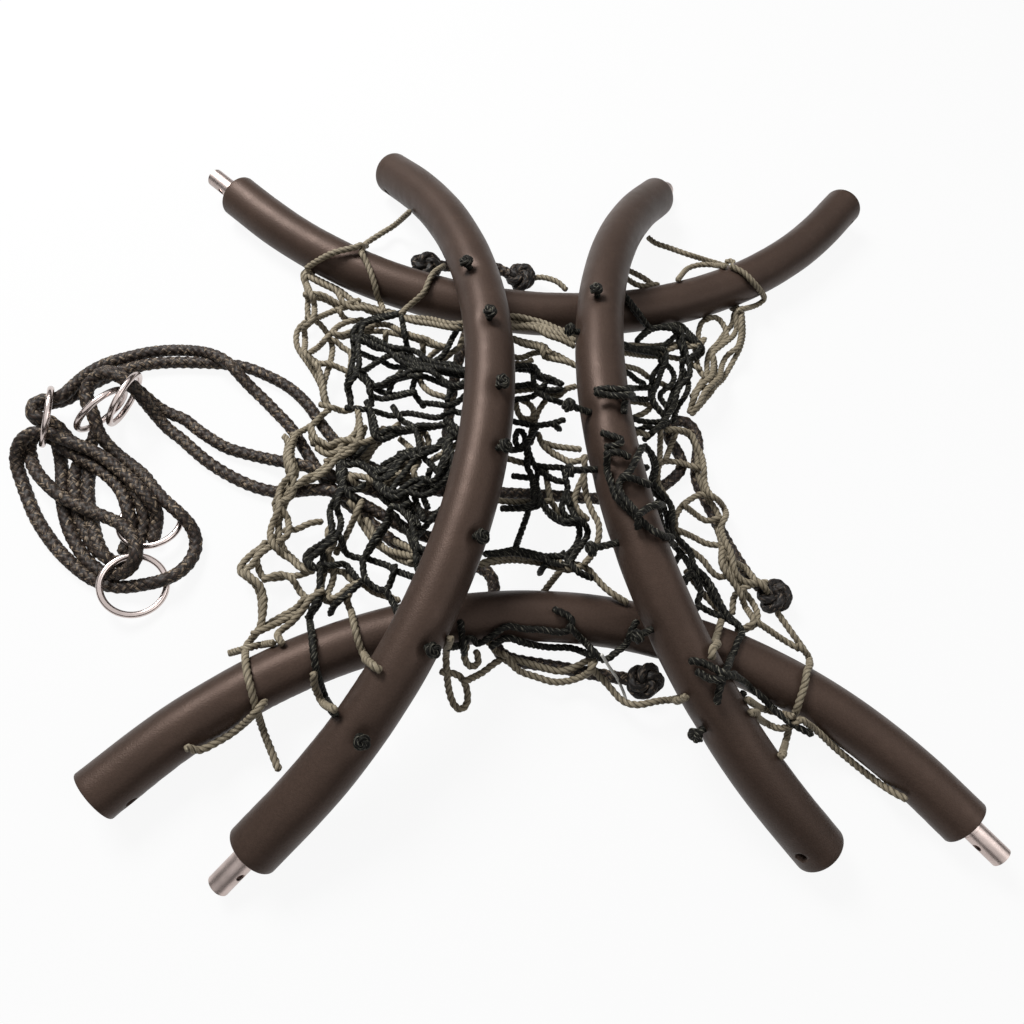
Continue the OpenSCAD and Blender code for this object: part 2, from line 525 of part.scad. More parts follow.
route_3 = [
    [-341, -112, 5], [-350, -102, 5], [-360, -88, 5], [-368, -72, 5], [-374, -55, 5],
    [-378, -38, 5], [-375, -25, 5], [-371.5, -12.5, 6], [-369, 1, 10], [-371, 13, 16],
    [-378.5, 25.5, 18], [-386, 36.5, 19], [-387, 46, 22], [-383, 58, 26], [-378, 69, 29],
    [-364.5, 68, 31], [-355, 61, 30], [-347, 54.5, 28], [-334, 44, 20], [-319.5, 32.5, 9],
    [-305, 25.5, 5], [-296, 23, 5], [-282, 12, 5], [-268, 3, 5], [-254, -5, 5],
    [-240, -9, 5], [-222, -13, 6], [-204, -16, 11], [-188, -18, 15], [-172, -22, 15],
    [-156, -28, 13], [-138, -35, 6], [-118, -41, 5], [-98, -48, 5], [-80, -58, 5],
    [-64, -65, 7], [-50, -60, 12], [-44, -44, 15], [-46, -25, 15], [-51, -4, 8],
    [-53, 22, 5], [-52, 50, 5], [-49, 80, 5], [-45, 110, 6], [-39, 138, 12], [-33, 158, 26],
    [-29, 173, 42], [-27, 186, 49], [-28, 199, 47], [-31, 212, 36], [-38, 222, 22],
    [-48, 226, 12], [-60, 226, 9], [-72, 226, 9]
];
route_4 = [
    [-300, -98, 5], [-300, -86, 6], [-301, -74, 11], [-307, -64, 19], [-318, -53, 22],
    [-331, -41, 22], [-345, -30, 23], [-359, -20, 24], [-373, -13, 25], [-387, -8, 26],
    [-400, -3, 26], [-413, 1.7, 27], [-423, 0, 26], [-430, -7, 24], [-431, -18, 18],
    [-428, -32, 10], [-420, -47, 5], [-411, -63, 5], [-400, -81, 5], [-388, -96, 5],
    [-375, -110, 5], [-361, -122, 5], [-347, -132, 5], [-332, -139, 5], [-316, -141, 6],
    [-300, -138, 11], [-286, -134, 15], [-273, -126, 11], [-265, -113, 7], [-264, -99, 6],
    [-270, -85, 11], [-283, -72, 18.5], [-298, -60, 15], [-310, -48, 12], [-319.5, -37, 9],
    [-332, -27.5, 8], [-345.5, -18, 9], [-358, -7, 13], [-368, 5, 19], [-374.5, 20, 26],
    [-381.5, 32.5, 30], [-387.5, 44, 32], [-386, 56, 35], [-379, 65, 41],
    [-367.5, 66.5, 45], [-350.5, 56, 40], [-336.5, 41.5, 28], [-321, 24.5, 12],
    [-306, 9.5, 5], [-296, 3, 5], [-282, -9, 5], [-268, -20, 5], [-252, -30, 5],
    [-236, -38, 5], [-220, -44, 5], [-204, -47, 6], [-188, -46, 10], [-172, -43, 15],
    [-156, -43, 15], [-138, -49, 14], [-120, -58, 8], [-102, -68, 5], [-75, -82, 5],
    [-49, -84, 8], [-36, -72, 11], [-31, -54, 15], [-31, -35, 15], [-34, -14, 9],
    [-36, 15, 5], [-32, 68, 5], [-26, 118, 6], [-21, 145, 16], [-17, 162, 31],
    [-15, 176, 45], [-15, 194, 49], [-17, 211, 36], [-18, 225, 19], [-13, 231, 11],
    [-3, 226, 9], [6, 221, 9]
];
// Overhand knots: [middle, heading]
knot_3 = [[-84, 224], 0];
knot_4 = [[17, 219], 90];
knot_2 = [[253, -128], 60];
knot_1 = [[126, -208], 20];
knot_size = 5.2;
knot_rope_d = 8.4;
knot_height = 4.6;

// Where rope 1 runs under tube D, and the room that the foam leaves it
dent_at = [-5, -155];
dent_gap = 0.4;

// White tie round the front of the net
tie_route = [[86, -190, 52], [92, -200, 38], [98, -209, 18], [103, -220, 4],
    [106, -231, 2]];

// ---- Rings: [middle, direction that the ring's hole faces] -------------------
rings = [
    [[-409, 11, 25.5], [0.893, 0.103, -0.44]],
    [[-364.1, 20.6, 27.3], [0.746, -0.593, -0.303]],
    [[-346.6, 33, 26.9], [-0.896, 0.302, 0.325]],
    [[-309, -79 - ring_d - ring_gap, 12.5], [0.305, -0.076, 0.949]],
    [[-308, -79, 8.8], [0, 0.226, 0.974]]
];

// ---- Sub-parts -----------------------------------------------------------------
module placed(pose) {
    translate(pose[0]) rotate(pose[1]) children();
}

// A round bar along the whole of a quarter tube, and past its ends if need be.
// Its straight ends are thicker than the bend by seam, and lap over it.
module bar(r, past = 0) {
    translate([-bend_r, 0, 0])
        rotate([0, 0, -turn / 2])
            rotate_extrude(angle = turn) translate([bend_r, 0]) circle(r - seam);
    for (side = [-1, 1])
        placed([line_at(side * (half + past)), [0, 0, bend_angle(side * half)]])
            rotate([side * 90, 0, 0]) cylinder(h = straight + past + lap, r = r);
}

// A round hole across a tube, at u, along the angle phi
module cross_hole(u, phi, d) {
    placed([line_at(u), [0, 0, bend_angle(u)]])
        rotate([0, 90 - phi, 0])
            cylinder(h = 4 * foam_r, d = d, center = true);
}

module lace_holes(laces, d) {
    for (l = laces) cross_hole(l[0], l[1], d);
}

module steel_tube(pose, laces = []) {
    color([0.8, 0.74, 0.73])
        placed(pose)
            difference() {
                bar(tube_r);
                bar(bore_r, 1);
                cross_hole(half - cross_at, cross_angle, cross_d);
                lace_holes(laces, lace_hole_d);
            }
}

module foam_sleeve(pose, laces = []) {
    color([0.3, 0.25, 0.23])
        placed(pose)
            difference() {
                bar(foam_r);
                bar(foam_in_r, 1);
                cross_hole(half - cross_at, cross_angle, foam_hole_d);
                lace_holes(laces, lace_hole_d);
            }
}

// The dent that rope 1 presses into the soft foam that lies on it
module rope_dent() {
    mid = slide(dent_at, level_rope, rope_r);
    translate(mid)
        rotate([90, 0, 0])
            cylinder(h = 3 * foam_r, r = rope_r + dent_gap, center = true);
}

module spigot(pose) {
    color([0.86, 0.78, 0.76])
        placed(pose)
            difference() {
                placed([line_at(-half), [0, 0, bend_angle(-half)]])
                    rotate([90, 0, 0])
                        difference() {
                            union() {
                                translate([0, 0, -spigot_in])
                                    cylinder(h = spigot_in + spigot_neck,
                                        r = spigot_r - spigot_step);
                                translate([0, 0, spigot_neck])
                                    cylinder(h = spigot_out - spigot_neck, r = spigot_r);
                            }
                            translate([0, 0, -spigot_in - 1])
                                cylinder(h = spigot_in + spigot_out + 2,
                                    r = spigot_r - spigot_wall);
                        }
                cross_hole(-half - cross_at, cross_angle, cross_d);
            }
}

// Lacing: a stopper knot outside, the cord through the tube, its inner end
module lacing(pose, laces) {
    color([0.12, 0.11, 0.1])
        placed(pose)
            for (l = laces)
                placed([line_at(l[0]), [0, 0, bend_angle(l[0])]])
                    rotate([0, 90 - l[1], 0]) {
                        translate([0, 0, -lace_in]) cylinder(h = lace_in + l[2], r = net_r);
                        translate([0, 0, l[2]]) sphere(d = stopper_d);
                        translate([0, 0, -lace_in]) sphere(r = net_r + lace_bead);
                    }
}

module steel_ring(i) {
    aim = unit(rings[i][1]);
    color([0.85, 0.8, 0.79])
        translate(rings[i][0])
            rotate([0, acos(aim[2]), atan2(aim[1], aim[0])])
                rotate_extrude() translate([ring_r, 0]) circle(d = ring_wire);
}

module rope(route) {
    color([0.2, 0.16, 0.14])
        tube_along([for (p = route) slide(p, level_rope, max(p[2], rope_r))],
            rope_r, rope_sides);
}

function knot_line(k, steps = 30) =
    [for (i = [1 : steps - 1])
        let (
            t = 360 * i / steps,
            p = [sin(t) + 2 * sin(2 * t), cos(t) - 2 * cos(2 * t)] * knot_size,
            c = cos(k[1]), s = sin(k[1]),
            lift = knot_height + knot_rope_d / 2
        )
        concat(xy(slide(k[0], level_rope, lift)) + [p[0] * c - p[1] * s, p[0] * s + p[1] * c],
            lift - knot_height * sin(3 * t))];
module rope_knot(k) {
    color([0.16, 0.13, 0.12])
        tube_along(knot_line(k), knot_rope_d / 2, net_sides);
}

module white_tie() {
    color([0.9, 0.9, 0.88])
        tube_along([for (p = tie_route) slide(p, level_side, p[2])], tie_d / 2, net_sides);
}

module strands(lying, over, level, shade) {
    color(shade) {
        for (s = lying) tube_along(lain(s, level), net_r, net_sides);
        for (s = over) tube_along(finer(draped(s, level)), net_r, net_sides);
    }
}
olive = [0.5, 0.47, 0.38];
black = [0.1, 0.1, 0.1];

steel_tube(pose_a);  // steel_tube_a
steel_tube(pose_b, laces_b);  // steel_tube_b
steel_tube(pose_c, laces_c);  // steel_tube_c
steel_tube(pose_d);  // steel_tube_d
foam_sleeve(pose_a);  // foam_sleeve_a
foam_sleeve(pose_b, laces_b);  // foam_sleeve_b
foam_sleeve(pose_c, laces_c);  // foam_sleeve_c
difference() {  // foam_sleeve_d
        foam_sleeve(pose_d);
        rope_dent();
    }
spigot(pose_a);  // spigot_a
spigot(pose_b);  // spigot_b
spigot(pose_c);  // spigot_c
spigot(pose_d);  // spigot_d
lacing(pose_b, laces_b);  // lacing_b
lacing(pose_c, laces_c);  // lacing_c
steel_ring(0);  // ring_1
steel_ring(1);  // ring_2
steel_ring(2);  // ring_3
steel_ring(3);  // ring_4
steel_ring(4);  // ring_5
rope(route_1);  // rope_1
rope(route_2);  // rope_2
rope(route_3);  // rope_3
rope(route_4);  // rope_4
rope_knot(knot_1);  // rope_knot_1
rope_knot(knot_2);  // rope_knot_2
rope_knot(knot_3);  // rope_knot_3
rope_knot(knot_4);  // rope_knot_4
white_tie();
strands(olive_left_upper, olive_left_upper_over, level_side, olive);  // net_left_upper
strands(olive_left_lower, olive_left_lower_over, level_side, olive);  // net_left_lower
strands(olive_middle, [], level_middle, olive);  // net_middle
strands(olive_right_upper, olive_right_upper_over, level_side, olive);  // net_right_upper
strands(olive_right_lower, olive_right_lower_over, level_side, olive);  // net_right_lower
strands([], olive_front_over, level_side, olive);  // net_front
strands(black_left_upper, [], level_side, black);  // net_black_left_upper
strands(black_left_lower, black_left_lower_over, level_side, black);  // net_black_left_lower
strands(black_middle, [], level_middle, black);  // net_black_middle
strands(black_right_upper, [], level_side, black);  // net_black_right_upper
strands(black_right_lower, black_right_lower_over, level_side, black);  // net_black_right_lower
strands([], black_front_over, level_side, black);  // net_black_front
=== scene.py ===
"""Round net swing kit, taken apart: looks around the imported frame.

The ropes and most of the net's cords follow the routes of the part's solids.
Some more cords, which the part leaves out, fill the net. All sizes are in
millimetres, which MM turns into Blender's metres.
"""
import math

import bpy
import numpy as np
from mathutils import Matrix, Vector, noise


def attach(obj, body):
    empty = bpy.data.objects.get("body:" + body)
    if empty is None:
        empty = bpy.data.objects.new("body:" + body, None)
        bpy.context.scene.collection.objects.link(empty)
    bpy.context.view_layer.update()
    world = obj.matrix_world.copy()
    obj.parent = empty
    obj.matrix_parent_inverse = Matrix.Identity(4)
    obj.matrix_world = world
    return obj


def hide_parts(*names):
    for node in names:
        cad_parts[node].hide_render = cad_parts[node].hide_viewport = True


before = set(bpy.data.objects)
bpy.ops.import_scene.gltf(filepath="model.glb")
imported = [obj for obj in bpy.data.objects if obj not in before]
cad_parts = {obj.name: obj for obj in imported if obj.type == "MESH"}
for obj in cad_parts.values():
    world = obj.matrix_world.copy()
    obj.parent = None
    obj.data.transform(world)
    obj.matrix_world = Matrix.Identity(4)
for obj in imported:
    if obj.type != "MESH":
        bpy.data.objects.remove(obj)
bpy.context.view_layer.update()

MM = 0.001

# ---- Camera ------------------------------------------------------------------
EYE = (-51.4, -341.3, 670.0)
VIEW_RIGHT = (0.9935, 0.0014, 0.1139)
VIEW_UP = (-0.0484, 0.9104, 0.4107)
VIEW_FORWARD = (0.1031, 0.4136, -0.9046)
FOCAL_PX = 775.0
CENTRE_PX = (526.2, 498.9)
IMAGE_PX = 1024.0
SENSOR_WIDTH = 36.0
CLIP_START = 10.0


def add_camera():
    data = bpy.data.cameras.new("camera")
    data.sensor_width = SENSOR_WIDTH
    data.lens = FOCAL_PX / IMAGE_PX * data.sensor_width
    data.shift_x = (IMAGE_PX / 2 - CENTRE_PX[0]) / IMAGE_PX
    data.shift_y = (CENTRE_PX[1] - IMAGE_PX / 2) / IMAGE_PX
    data.clip_start = CLIP_START * MM
    camera = bpy.data.objects.new("camera", data)
    back = -Vector(VIEW_FORWARD).normalized()
    right = Vector(VIEW_RIGHT)
    right = (right - back * right.dot(back)).normalized()
    up = back.cross(right)
    turn = Matrix((right, up, back)).transposed().to_4x4()
    camera.matrix_world = Matrix.Translation(Vector(EYE) * MM) @ turn
    bpy.context.scene.collection.objects.link(camera)
    bpy.context.scene.camera = camera


# ---- Driving sizes, as in the part's source -----------------------------------
BEND_R = 454.0
STRAIGHT = 33.0
FOAM_R = 22.0
FOAM_IN_R = 11.1
FOAM_HOLE_R = 4.5
CROSS_AT = 17.5
LYING_Z = FOAM_R
ROPE_R = 5.0
LACE_IN = 29.0
FLOOR_GAP = 0.2
LEVEL_ROPE = 15.0
LEVEL_SIDE = 30.0
LEVEL_MIDDLE = 20.0
HALF_TURN = math.pi / 4
HALF = BEND_R * HALF_TURN + STRAIGHT
# The drawn net cord is thicker than the part's, over the crowns of its strands
NET_R = 3.2
CORD_LOW = NET_R + FLOOR_GAP
CORD_OFF = FOAM_R + NET_R

# Where the four tubes lie: middle point, then roll, lean and heading in degrees
POSES = {
    "a": ((72, 169, LYING_Z), (0, 0, -84.6)),
    "b": ((-20, -8, LYING_Z + 79.3), (-0.1, -30.8, -4.4)),
    "c": ((84, -15, LYING_Z + 82.45), (-0.15, -32.1, 187.4)),
    "d": ((47, -156, LYING_Z), (0, 0, 88.8)),
}
# Lacing: distance along the tube, angle round it, how far out the knot sits
LACES = {
    "b": [(156, 85, 29), (90, 60, 29), (20, 40, 29), (-34, 20, 29), (-108, 20, 29),
          (-196, 20, 29), (-272, 40, 29)],
    "c": [(-132, 40, 29), (-100, -20, 29), (-12, 0, 44), (36, -20, 44), (98, -20, 44),
          (168, -20, 34), (250, -20, 29)],
}

# ---- Net cords, by place: points on the plan ----------------------------------
OLIVE_LEFT_UPPER = [
    [(-195, 205), (-203, 195), (-205, 185), (-200, 172), (-197, 160), (-196, 145), (-194, 133),
     (-200, 125), (-203, 115), (-201, 102), (-196, 93), (-190, 85), (-183, 75), (-177, 65),
     (-172, 55), (-170, 45), (-165, 36)],
    [(-196, 136), (-185, 131), (-178, 124), (-172, 115), (-168, 105), (-167, 95), (-168, 82),
     (-170, 70), (-171, 58), (-168, 45), (-163, 33)],
    [(-203, 188), (-190, 183), (-180, 178), (-168, 172), (-158, 164), (-150, 158), (-140, 155),
     (-128, 152), (-118, 150), (-108, 148)],
    [(-199, 160), (-185, 160), (-175, 156), (-165, 150), (-158, 152), (-147, 157)],
    [(-170, 120), (-160, 115), (-150, 120), (-142, 122), (-130, 125), (-118, 125), (-105, 123),
     (-92, 120), (-80, 116), (-68, 112), (-58, 112)],
    [(-174, 112), (-165, 110), (-158, 103), (-150, 98), (-148, 85), (-150, 70)],
    [(-190, 91), (-178, 83), (-170, 84), (-160, 80), (-145, 74)],
    [(-82, 119), (-80, 95), (-82, 75), (-78, 65), (-70, 58), (-60, 55), (-48, 51)],
    [(-104, 144), (-90, 142), (-75, 141), (-50, 138), (-20, 144), (10, 150), (35, 150), (55, 140),
     (75, 135), (100, 132), (122, 128)],
    [(-190, 93), (-182, 100), (-177, 108), (-172, 116)],
    [(-197, 187), (-186, 180), (-175, 174), (-163, 167), (-154, 160), (-142, 151), (-130, 147),
     (-118, 146)],
    [(-201, 163), (-187, 165), (-177, 161), (-167, 155), (-158, 156), (-147, 161)],
    [(-193, 132), (-182, 138), (-172, 145), (-162, 150)],
    [(-165, 146), (-160, 138), (-150, 135), (-142, 138)],
    [(-170, 120), (-165, 127), (-158, 133), (-150, 136)],
    [(-118, 125), (-118, 115), (-118, 108)],
    [(-62, 112), (-70, 104), (-75, 97)],
    [(-45, 113), (-55, 103), (-62, 95)],
    [(-45, 113), (-42, 125)],
]
OLIVE_LEFT_UPPER_OVER = [
    [(-105, 283), (-120, 262), (-135, 247), (-147, 234), (-150, 222), (-145, 212), (-138, 195),
     (-133, 180), (-130, 168), (-125, 158), (-122, 150)],
    [(-146, 232), (-156, 229), (-165, 225), (-180, 218), (-195, 205), (-203, 196)],
    [(-65, 213), (-75, 203), (-80, 190), (-83, 178), (-90, 168), (-98, 158), (-105, 148)],
]
BLACK_LEFT_UPPER = [
    [(-102, 150), (-115, 146), (-128, 142), (-140, 135), (-147, 128), (-150, 120), (-148, 108),
     (-146, 98), (-147, 85), (-148, 72), (-150, 60), (-146, 48), (-144, 36)],
    [(-105, 152), (-102, 135), (-99, 120), (-96, 108), (-92, 100), (-88, 92), (-86, 80),
     (-87, 70), (-88, 60), (-82, 50), (-76, 42)],
    [(-150, 116), (-135, 115), (-125, 110), (-112, 105), (-100, 100), (-88, 95), (-78, 92),
     (-65, 90), (-50, 88), (-34, 84)],
    [(-148, 82), (-140, 76), (-135, 72), (-127, 65), (-122, 58), (-115, 55), (-105, 53),
     (-95, 56), (-85, 58)],
    [(-124, 62), (-115, 62), (-108, 68), (-98, 73), (-88, 76), (-75, 75), (-62, 70), (-50, 66),
     (-38, 68), (-28, 73)],
    [(-150, 112), (-137, 111), (-126, 105), (-112, 104), (-100, 97), (-88, 91), (-76, 88),
     (-62, 92), (-48, 92)],
    [(-148, 100), (-138, 97), (-128, 93), (-118, 90), (-110, 85), (-100, 85), (-88, 85),
     (-75, 85), (-60, 82), (-45, 80), (-32, 80)],
    [(-145, 78), (-135, 78), (-128, 85), (-120, 92), (-112, 98), (-100, 98)],
    [(-46, 138), (-52, 125), (-57, 110), (-62, 100), (-68, 95), (-78, 92)],
    [(-135, 75), (-130, 65), (-126, 50), (-125, 40)],
    [(-55, 50), (-52, 60), (-45, 68), (-35, 75)],
    [(-78, 46), (-65, 46), (-52, 45), (-42, 52), (-35, 62), (-30, 68)],
    [(-110, 55), (-108, 65), (-105, 72), (-100, 80)],
]
OLIVE_LEFT_LOWER = [
    [(-200, 2), (-196, -5), (-196, -18), (-193, -30), (-190, -42), (-192, -55), (-200, -62),
     (-198, -70), (-195, -80), (-193, -92), (-200, -102), (-210, -110), (-218, -120),
     (-220, -128), (-212, -134), (-205, -140), (-200, -150), (-198, -160), (-196, -172)],
    [(-190, 6), (-192, -10), (-190, -22), (-185, -33), (-188, -45), (-190, -58), (-192, -70),
     (-194, -82), (-192, -95), (-186, -108), (-178, -115), (-170, -122), (-160, -125)],
    [(-203, -101), (-208, -115), (-205, -125), (-200, -133), (-190, -133), (-180, -131),
     (-172, -130), (-160, -125)],
    [(-163, 33), (-168, 28), (-175, 18), (-183, 10), (-194, 3)],
    [(-172, 38), (-160, 35), (-150, 32), (-140, 36)],
    [(-178, 14), (-175, 0), (-168, -5), (-160, -8), (-150, -6), (-140, -4), (-130, -2),
     (-120, 5)],
    [(-182, -45), (-170, -36), (-160, -26), (-150, -8), (-145, 0), (-138, 8), (-135, 20),
     (-138, 37)],
    [(-148, -31), (-135, -34), (-120, -35), (-108, -32), (-95, -28), (-85, -32), (-72, -39)],
    [(-136, -60), (-130, -68), (-125, -78), (-118, -88), (-110, -98), (-100, -105), (-92, -110),
     (-80, -115), (-66, -118)],
    [(-152, -120), (-145, -125), (-135, -125), (-128, -132), (-118, -135), (-108, -142),
     (-98, -145), (-86, -152)],
    [(-148, -82), (-152, -90), (-148, -100), (-152, -110), (-150, -120), (-152, -135),
     (-150, -148), (-142, -152), (-132, -148), (-128, -140), (-118, -133)],
    [(-75, 22), (-78, 10), (-75, 0), (-82, -10), (-90, -20), (-95, -30), (-107, -40)],
    [(-165, -35), (-175, -38), (-182, -45), (-188, -52), (-192, -60)],
    [(-158, -80), (-168, -82), (-178, -88), (-188, -90)],
    [(-200, -135), (-190, -130), (-182, -130), (-175, -135), (-168, -145), (-160, -150),
     (-155, -145), (-152, -135)],
    [(-165, -150), (-170, -158), (-180, -165), (-190, -172), (-196, -178)],
    [(-170, -8), (-160, -14), (-150, -10), (-140, -8)],
    [(-130, -15), (-122, -5), (-118, 5), (-115, 15)],
    [(-145, -30), (-135, -40), (-125, -48), (-120, -38), (-110, -30), (-100, -25)],
    [(-80, -115), (-75, -105), (-95, -95)],
    [(-120, 12), (-112, 10), (-105, 15), (-98, 22)],
    [(-55, 0), (-52, -8), (-50, -15)],
]
OLIVE_LEFT_LOWER_OVER = [
    [(-128, -144), (-130, -150), (-125, -160), (-122, -170), (-117, -185), (-112, -195),
     (-105, -203), (-98, -208)],
]
BLACK_LEFT_LOWER = [
    [(-130, 44), (-125, 28), (-122, 15), (-120, 8), (-112, 4), (-105, 8), (-98, 12), (-88, 15),
     (-78, 18), (-68, 20), (-55, 24)],
    [(-148, 36), (-128, 35), (-115, 32), (-105, 30), (-92, 34), (-80, 33), (-68, 31), (-60, 32),
     (-52, 38), (-42, 38), (-30, 32)],
    [(-150, -14), (-142, -22), (-132, -20), (-122, -25), (-112, -30), (-105, -25), (-98, -18),
     (-92, -8), (-82, -5), (-72, -3), (-62, 0), (-55, 8), (-44, 12)],
    [(-150, -10), (-148, -32), (-145, -45), (-148, -55), (-152, -68), (-150, -80), (-148, -92),
     (-155, -100), (-165, -108), (-168, -115), (-162, -122), (-150, -124)],
    [(-118, -36), (-105, -48), (-95, -52), (-88, -45), (-80, -42), (-70, -42), (-62, -40),
     (-55, -30), (-52, -20), (-50, -8), (-52, 5), (-48, 16)],
    [(-148, -98), (-142, -92), (-138, -100), (-135, -108), (-125, -112), (-118, -112),
     (-108, -115), (-98, -118), (-92, -122), (-80, -126), (-70, -130), (-60, -134)],
    [(-120, -116), (-112, -100), (-105, -88), (-100, -78), (-98, -68), (-90, -78), (-82, -88),
     (-78, -98), (-72, -105), (-60, -105), (-48, -97)],
    [(-120, -112), (-118, -125), (-115, -132), (-108, -138), (-98, -140), (-94, -130),
     (-92, -118)],
    [(-78, -94), (-75, -90), (-68, -80), (-60, -68), (-52, -60), (-48, -50), (-51, -34)],
    [(-155, -118), (-153, -140), (-152, -152), (-156, -160), (-160, -166)],
    [(-105, 40), (-100, 32), (-95, 25), (-85, 20), (-80, 10), (-78, 0), (-75, -10), (-65, -20),
     (-58, -28), (-52, -35)],
    [(-60, 25), (-50, 18), (-42, 12), (-35, 5), (-32, -5)],
    [(-55, 30), (-48, 24), (-40, 18), (-30, 13)],
    [(-125, 0), (-130, -8), (-135, -15)],
    [(-110, -22), (-100, -15), (-90, -10), (-80, -10), (-85, -20), (-92, -32), (-98, -42),
     (-100, -50)],
    [(-50, -28), (-40, -22), (-32, -15)],
    [(-145, -50), (-138, -48), (-130, -48), (-125, -42)],
    [(-75, -105), (-73, -118), (-70, -128)],
    [(-118, -132), (-125, -140), (-133, -148), (-140, -155), (-142, -162)],
    [(-98, -140), (-92, -150), (-88, -160), (-84, -170), (-82, -175)],
    [(-155, -118), (-145, -120), (-135, -118), (-128, -125), (-122, -132)],
    [(-60, -100), (-48, -97)],
    [(-152, -118), (-155, -105)],
]
BLACK_LEFT_LOWER_OVER = [
    [(-153, -150), (-158, -160), (-158, -168), (-155, -180), (-152, -195), (-148, -210),
     (-143, -222), (-138, -232), (-130, -243)],
]
OLIVE_MIDDLE = [
    [(3, 152), (20, 156), (35, 153), (45, 147), (58, 143), (72, 137)],
    [(6, 136), (20, 132), (32, 130), (42, 128), (45, 122), (55, 118), (65, 112), (75, 106)],
    [(6, 113), (18, 112), (28, 118), (38, 121), (48, 121)],
    [(10, 72), (25, 75), (35, 76), (45, 72), (55, 70), (62, 78), (72, 82)],
    [(42, 64), (35, 52), (32, 42), (28, 30), (27, 14)],
    [(34, 26), (38, 15), (45, 8), (55, 2), (62, -2), (72, -2), (82, 3)],
    [(41, -13), (44, -35), (46, -45), (52, -55), (60, -62)],
    [(-6, -47), (12, -48), (25, -47), (35, -48), (46, -44)],
    [(79, 4), (78, -15), (74, -25), (70, -35), (68, -45), (72, -55), (80, -62)],
    [(-18, -110), (-5, -107), (8, -105), (22, -105), (38, -107), (50, -110), (62, -112),
     (72, -108)],
    [(57, -108), (48, -120), (42, -128), (36, -138)],
    [(66, -106), (78, -110), (85, -118), (93, -127), (102, -134), (112, -142)],
    [(3, 148), (20, 151), (34, 149), (45, 142), (58, 138), (72, 131)],
    [(10, 105), (20, 105), (28, 110)],
    [(12, 60), (14, 50), (18, 42), (28, 42), (30, 52), (24, 60), (18, 62)],
    [(40, 16), (50, 13), (62, 12), (75, 11)],
    [(40, 12), (48, 5), (58, 0), (66, -5)],
    [(5, -3), (15, -6), (25, -8)],
    [(78, -10), (78, -25), (80, -40), (85, -55), (90, -65), (90, -78), (88, -85), (82, -98),
     (76, -105)],
    [(30, 215), (40, 217), (55, 213), (65, 203)],
]
BLACK_MIDDLE = [
    [(4, 98), (18, 98), (28, 97), (35, 90), (45, 87), (58, 84)],
    [(4, 78), (18, 79), (28, 82), (35, 78), (45, 76), (58, 78)],
    [(29, 101), (30, 88), (30, 78)],
    [(45, 91), (40, 80), (34, 74), (30, 68), (20, 64), (6, 62)],
    [(33, 76), (35, 72), (45, 66), (58, 62)],
    [(6, 38), (20, 36), (30, 34), (40, 36), (48, 38), (60, 43)],
    [(33, 34), (28, 20), (24, 12), (26, 2), (30, -8), (34, -15), (32, -25), (34, -38), (36, -48),
     (30, -52), (18, -54), (0, -55)],
    [(30, -9), (45, -10), (58, -10), (60, -20), (62, -32), (58, -42), (56, -52), (60, -60),
     (74, -65)],
    [(36, -44), (42, -56), (50, -63), (60, -67), (70, -66), (72, -75), (70, -85), (65, -93),
     (58, -99), (48, -99), (40, -100), (25, -97), (12, -95), (0, -98), (-14, -100)],
    [(26, -51), (22, -65), (18, -78), (14, -90), (12, -99)],
    [(56, -96), (64, -107), (70, -114), (82, -119)],
    [(15, 28), (12, 20), (14, 10), (20, 12), (22, 20), (18, 28)],
    [(8, 6), (18, 8), (24, 12)],
    [(48, 38), (55, 32)],
    [(10, -21), (20, -22), (30, -22)],
    [(36, -15), (44, -20), (52, -24), (58, -24)],
    [(45, -104), (38, -110), (35, -116)],
    [(62, -45), (66, -55), (70, -62)],
    [(60, -35), (64, -48)],
]
OLIVE_RIGHT_UPPER = [
    [(157, 275), (165, 268), (180, 263), (200, 256), (220, 250), (235, 246), (246, 242)],
    [(248, 236), (246, 215), (246, 195), (244, 180), (240, 165), (232, 155), (222, 140),
     (212, 128), (208, 115), (206, 100), (198, 88), (190, 72), (184, 54)],
    [(253, 188), (252, 165), (250, 150), (245, 135), (238, 122), (230, 108), (222, 95), (215, 88),
     (205, 75), (195, 62), (186, 52)],
    [(132, 227), (145, 220), (155, 212), (162, 205), (175, 201), (190, 199), (205, 195),
     (216, 190)],
    [(246, 225), (235, 218), (225, 207), (215, 200), (203, 197)],
    [(216, 198), (217, 195), (215, 182), (213, 175), (207, 165), (202, 150), (201, 134)],
    [(208, 144), (202, 140), (190, 137), (178, 135), (165, 133), (150, 130), (135, 130),
     (118, 128)],
    [(196, 141), (197, 122), (198, 108), (203, 98), (214, 90)],
    [(118, 120), (140, 118), (155, 118), (170, 118), (185, 115), (200, 106)],
    [(118, 104), (135, 100), (145, 92), (155, 87), (168, 80)],
    [(243, 250), (250, 252), (252, 243), (247, 235)],
    [(130, 215), (140, 208), (152, 203), (165, 200)],
    [(213, 178), (225, 172), (232, 160), (232, 148), (225, 138)],
    [(215, 125), (216, 110), (214, 98), (212, 88), (208, 78), (198, 68)],
    [(205, 85), (195, 82), (188, 72)],
    [(122, 62), (135, 62), (145, 58), (138, 50), (128, 45)],
]
OLIVE_RIGHT_UPPER_OVER = [
    [(248, 245), (252, 242), (262, 236), (270, 225), (278, 212), (280, 202), (270, 193),
     (258, 188), (249, 184)],
    [(186, 220), (197, 235), (210, 242), (225, 244), (240, 243)],
]
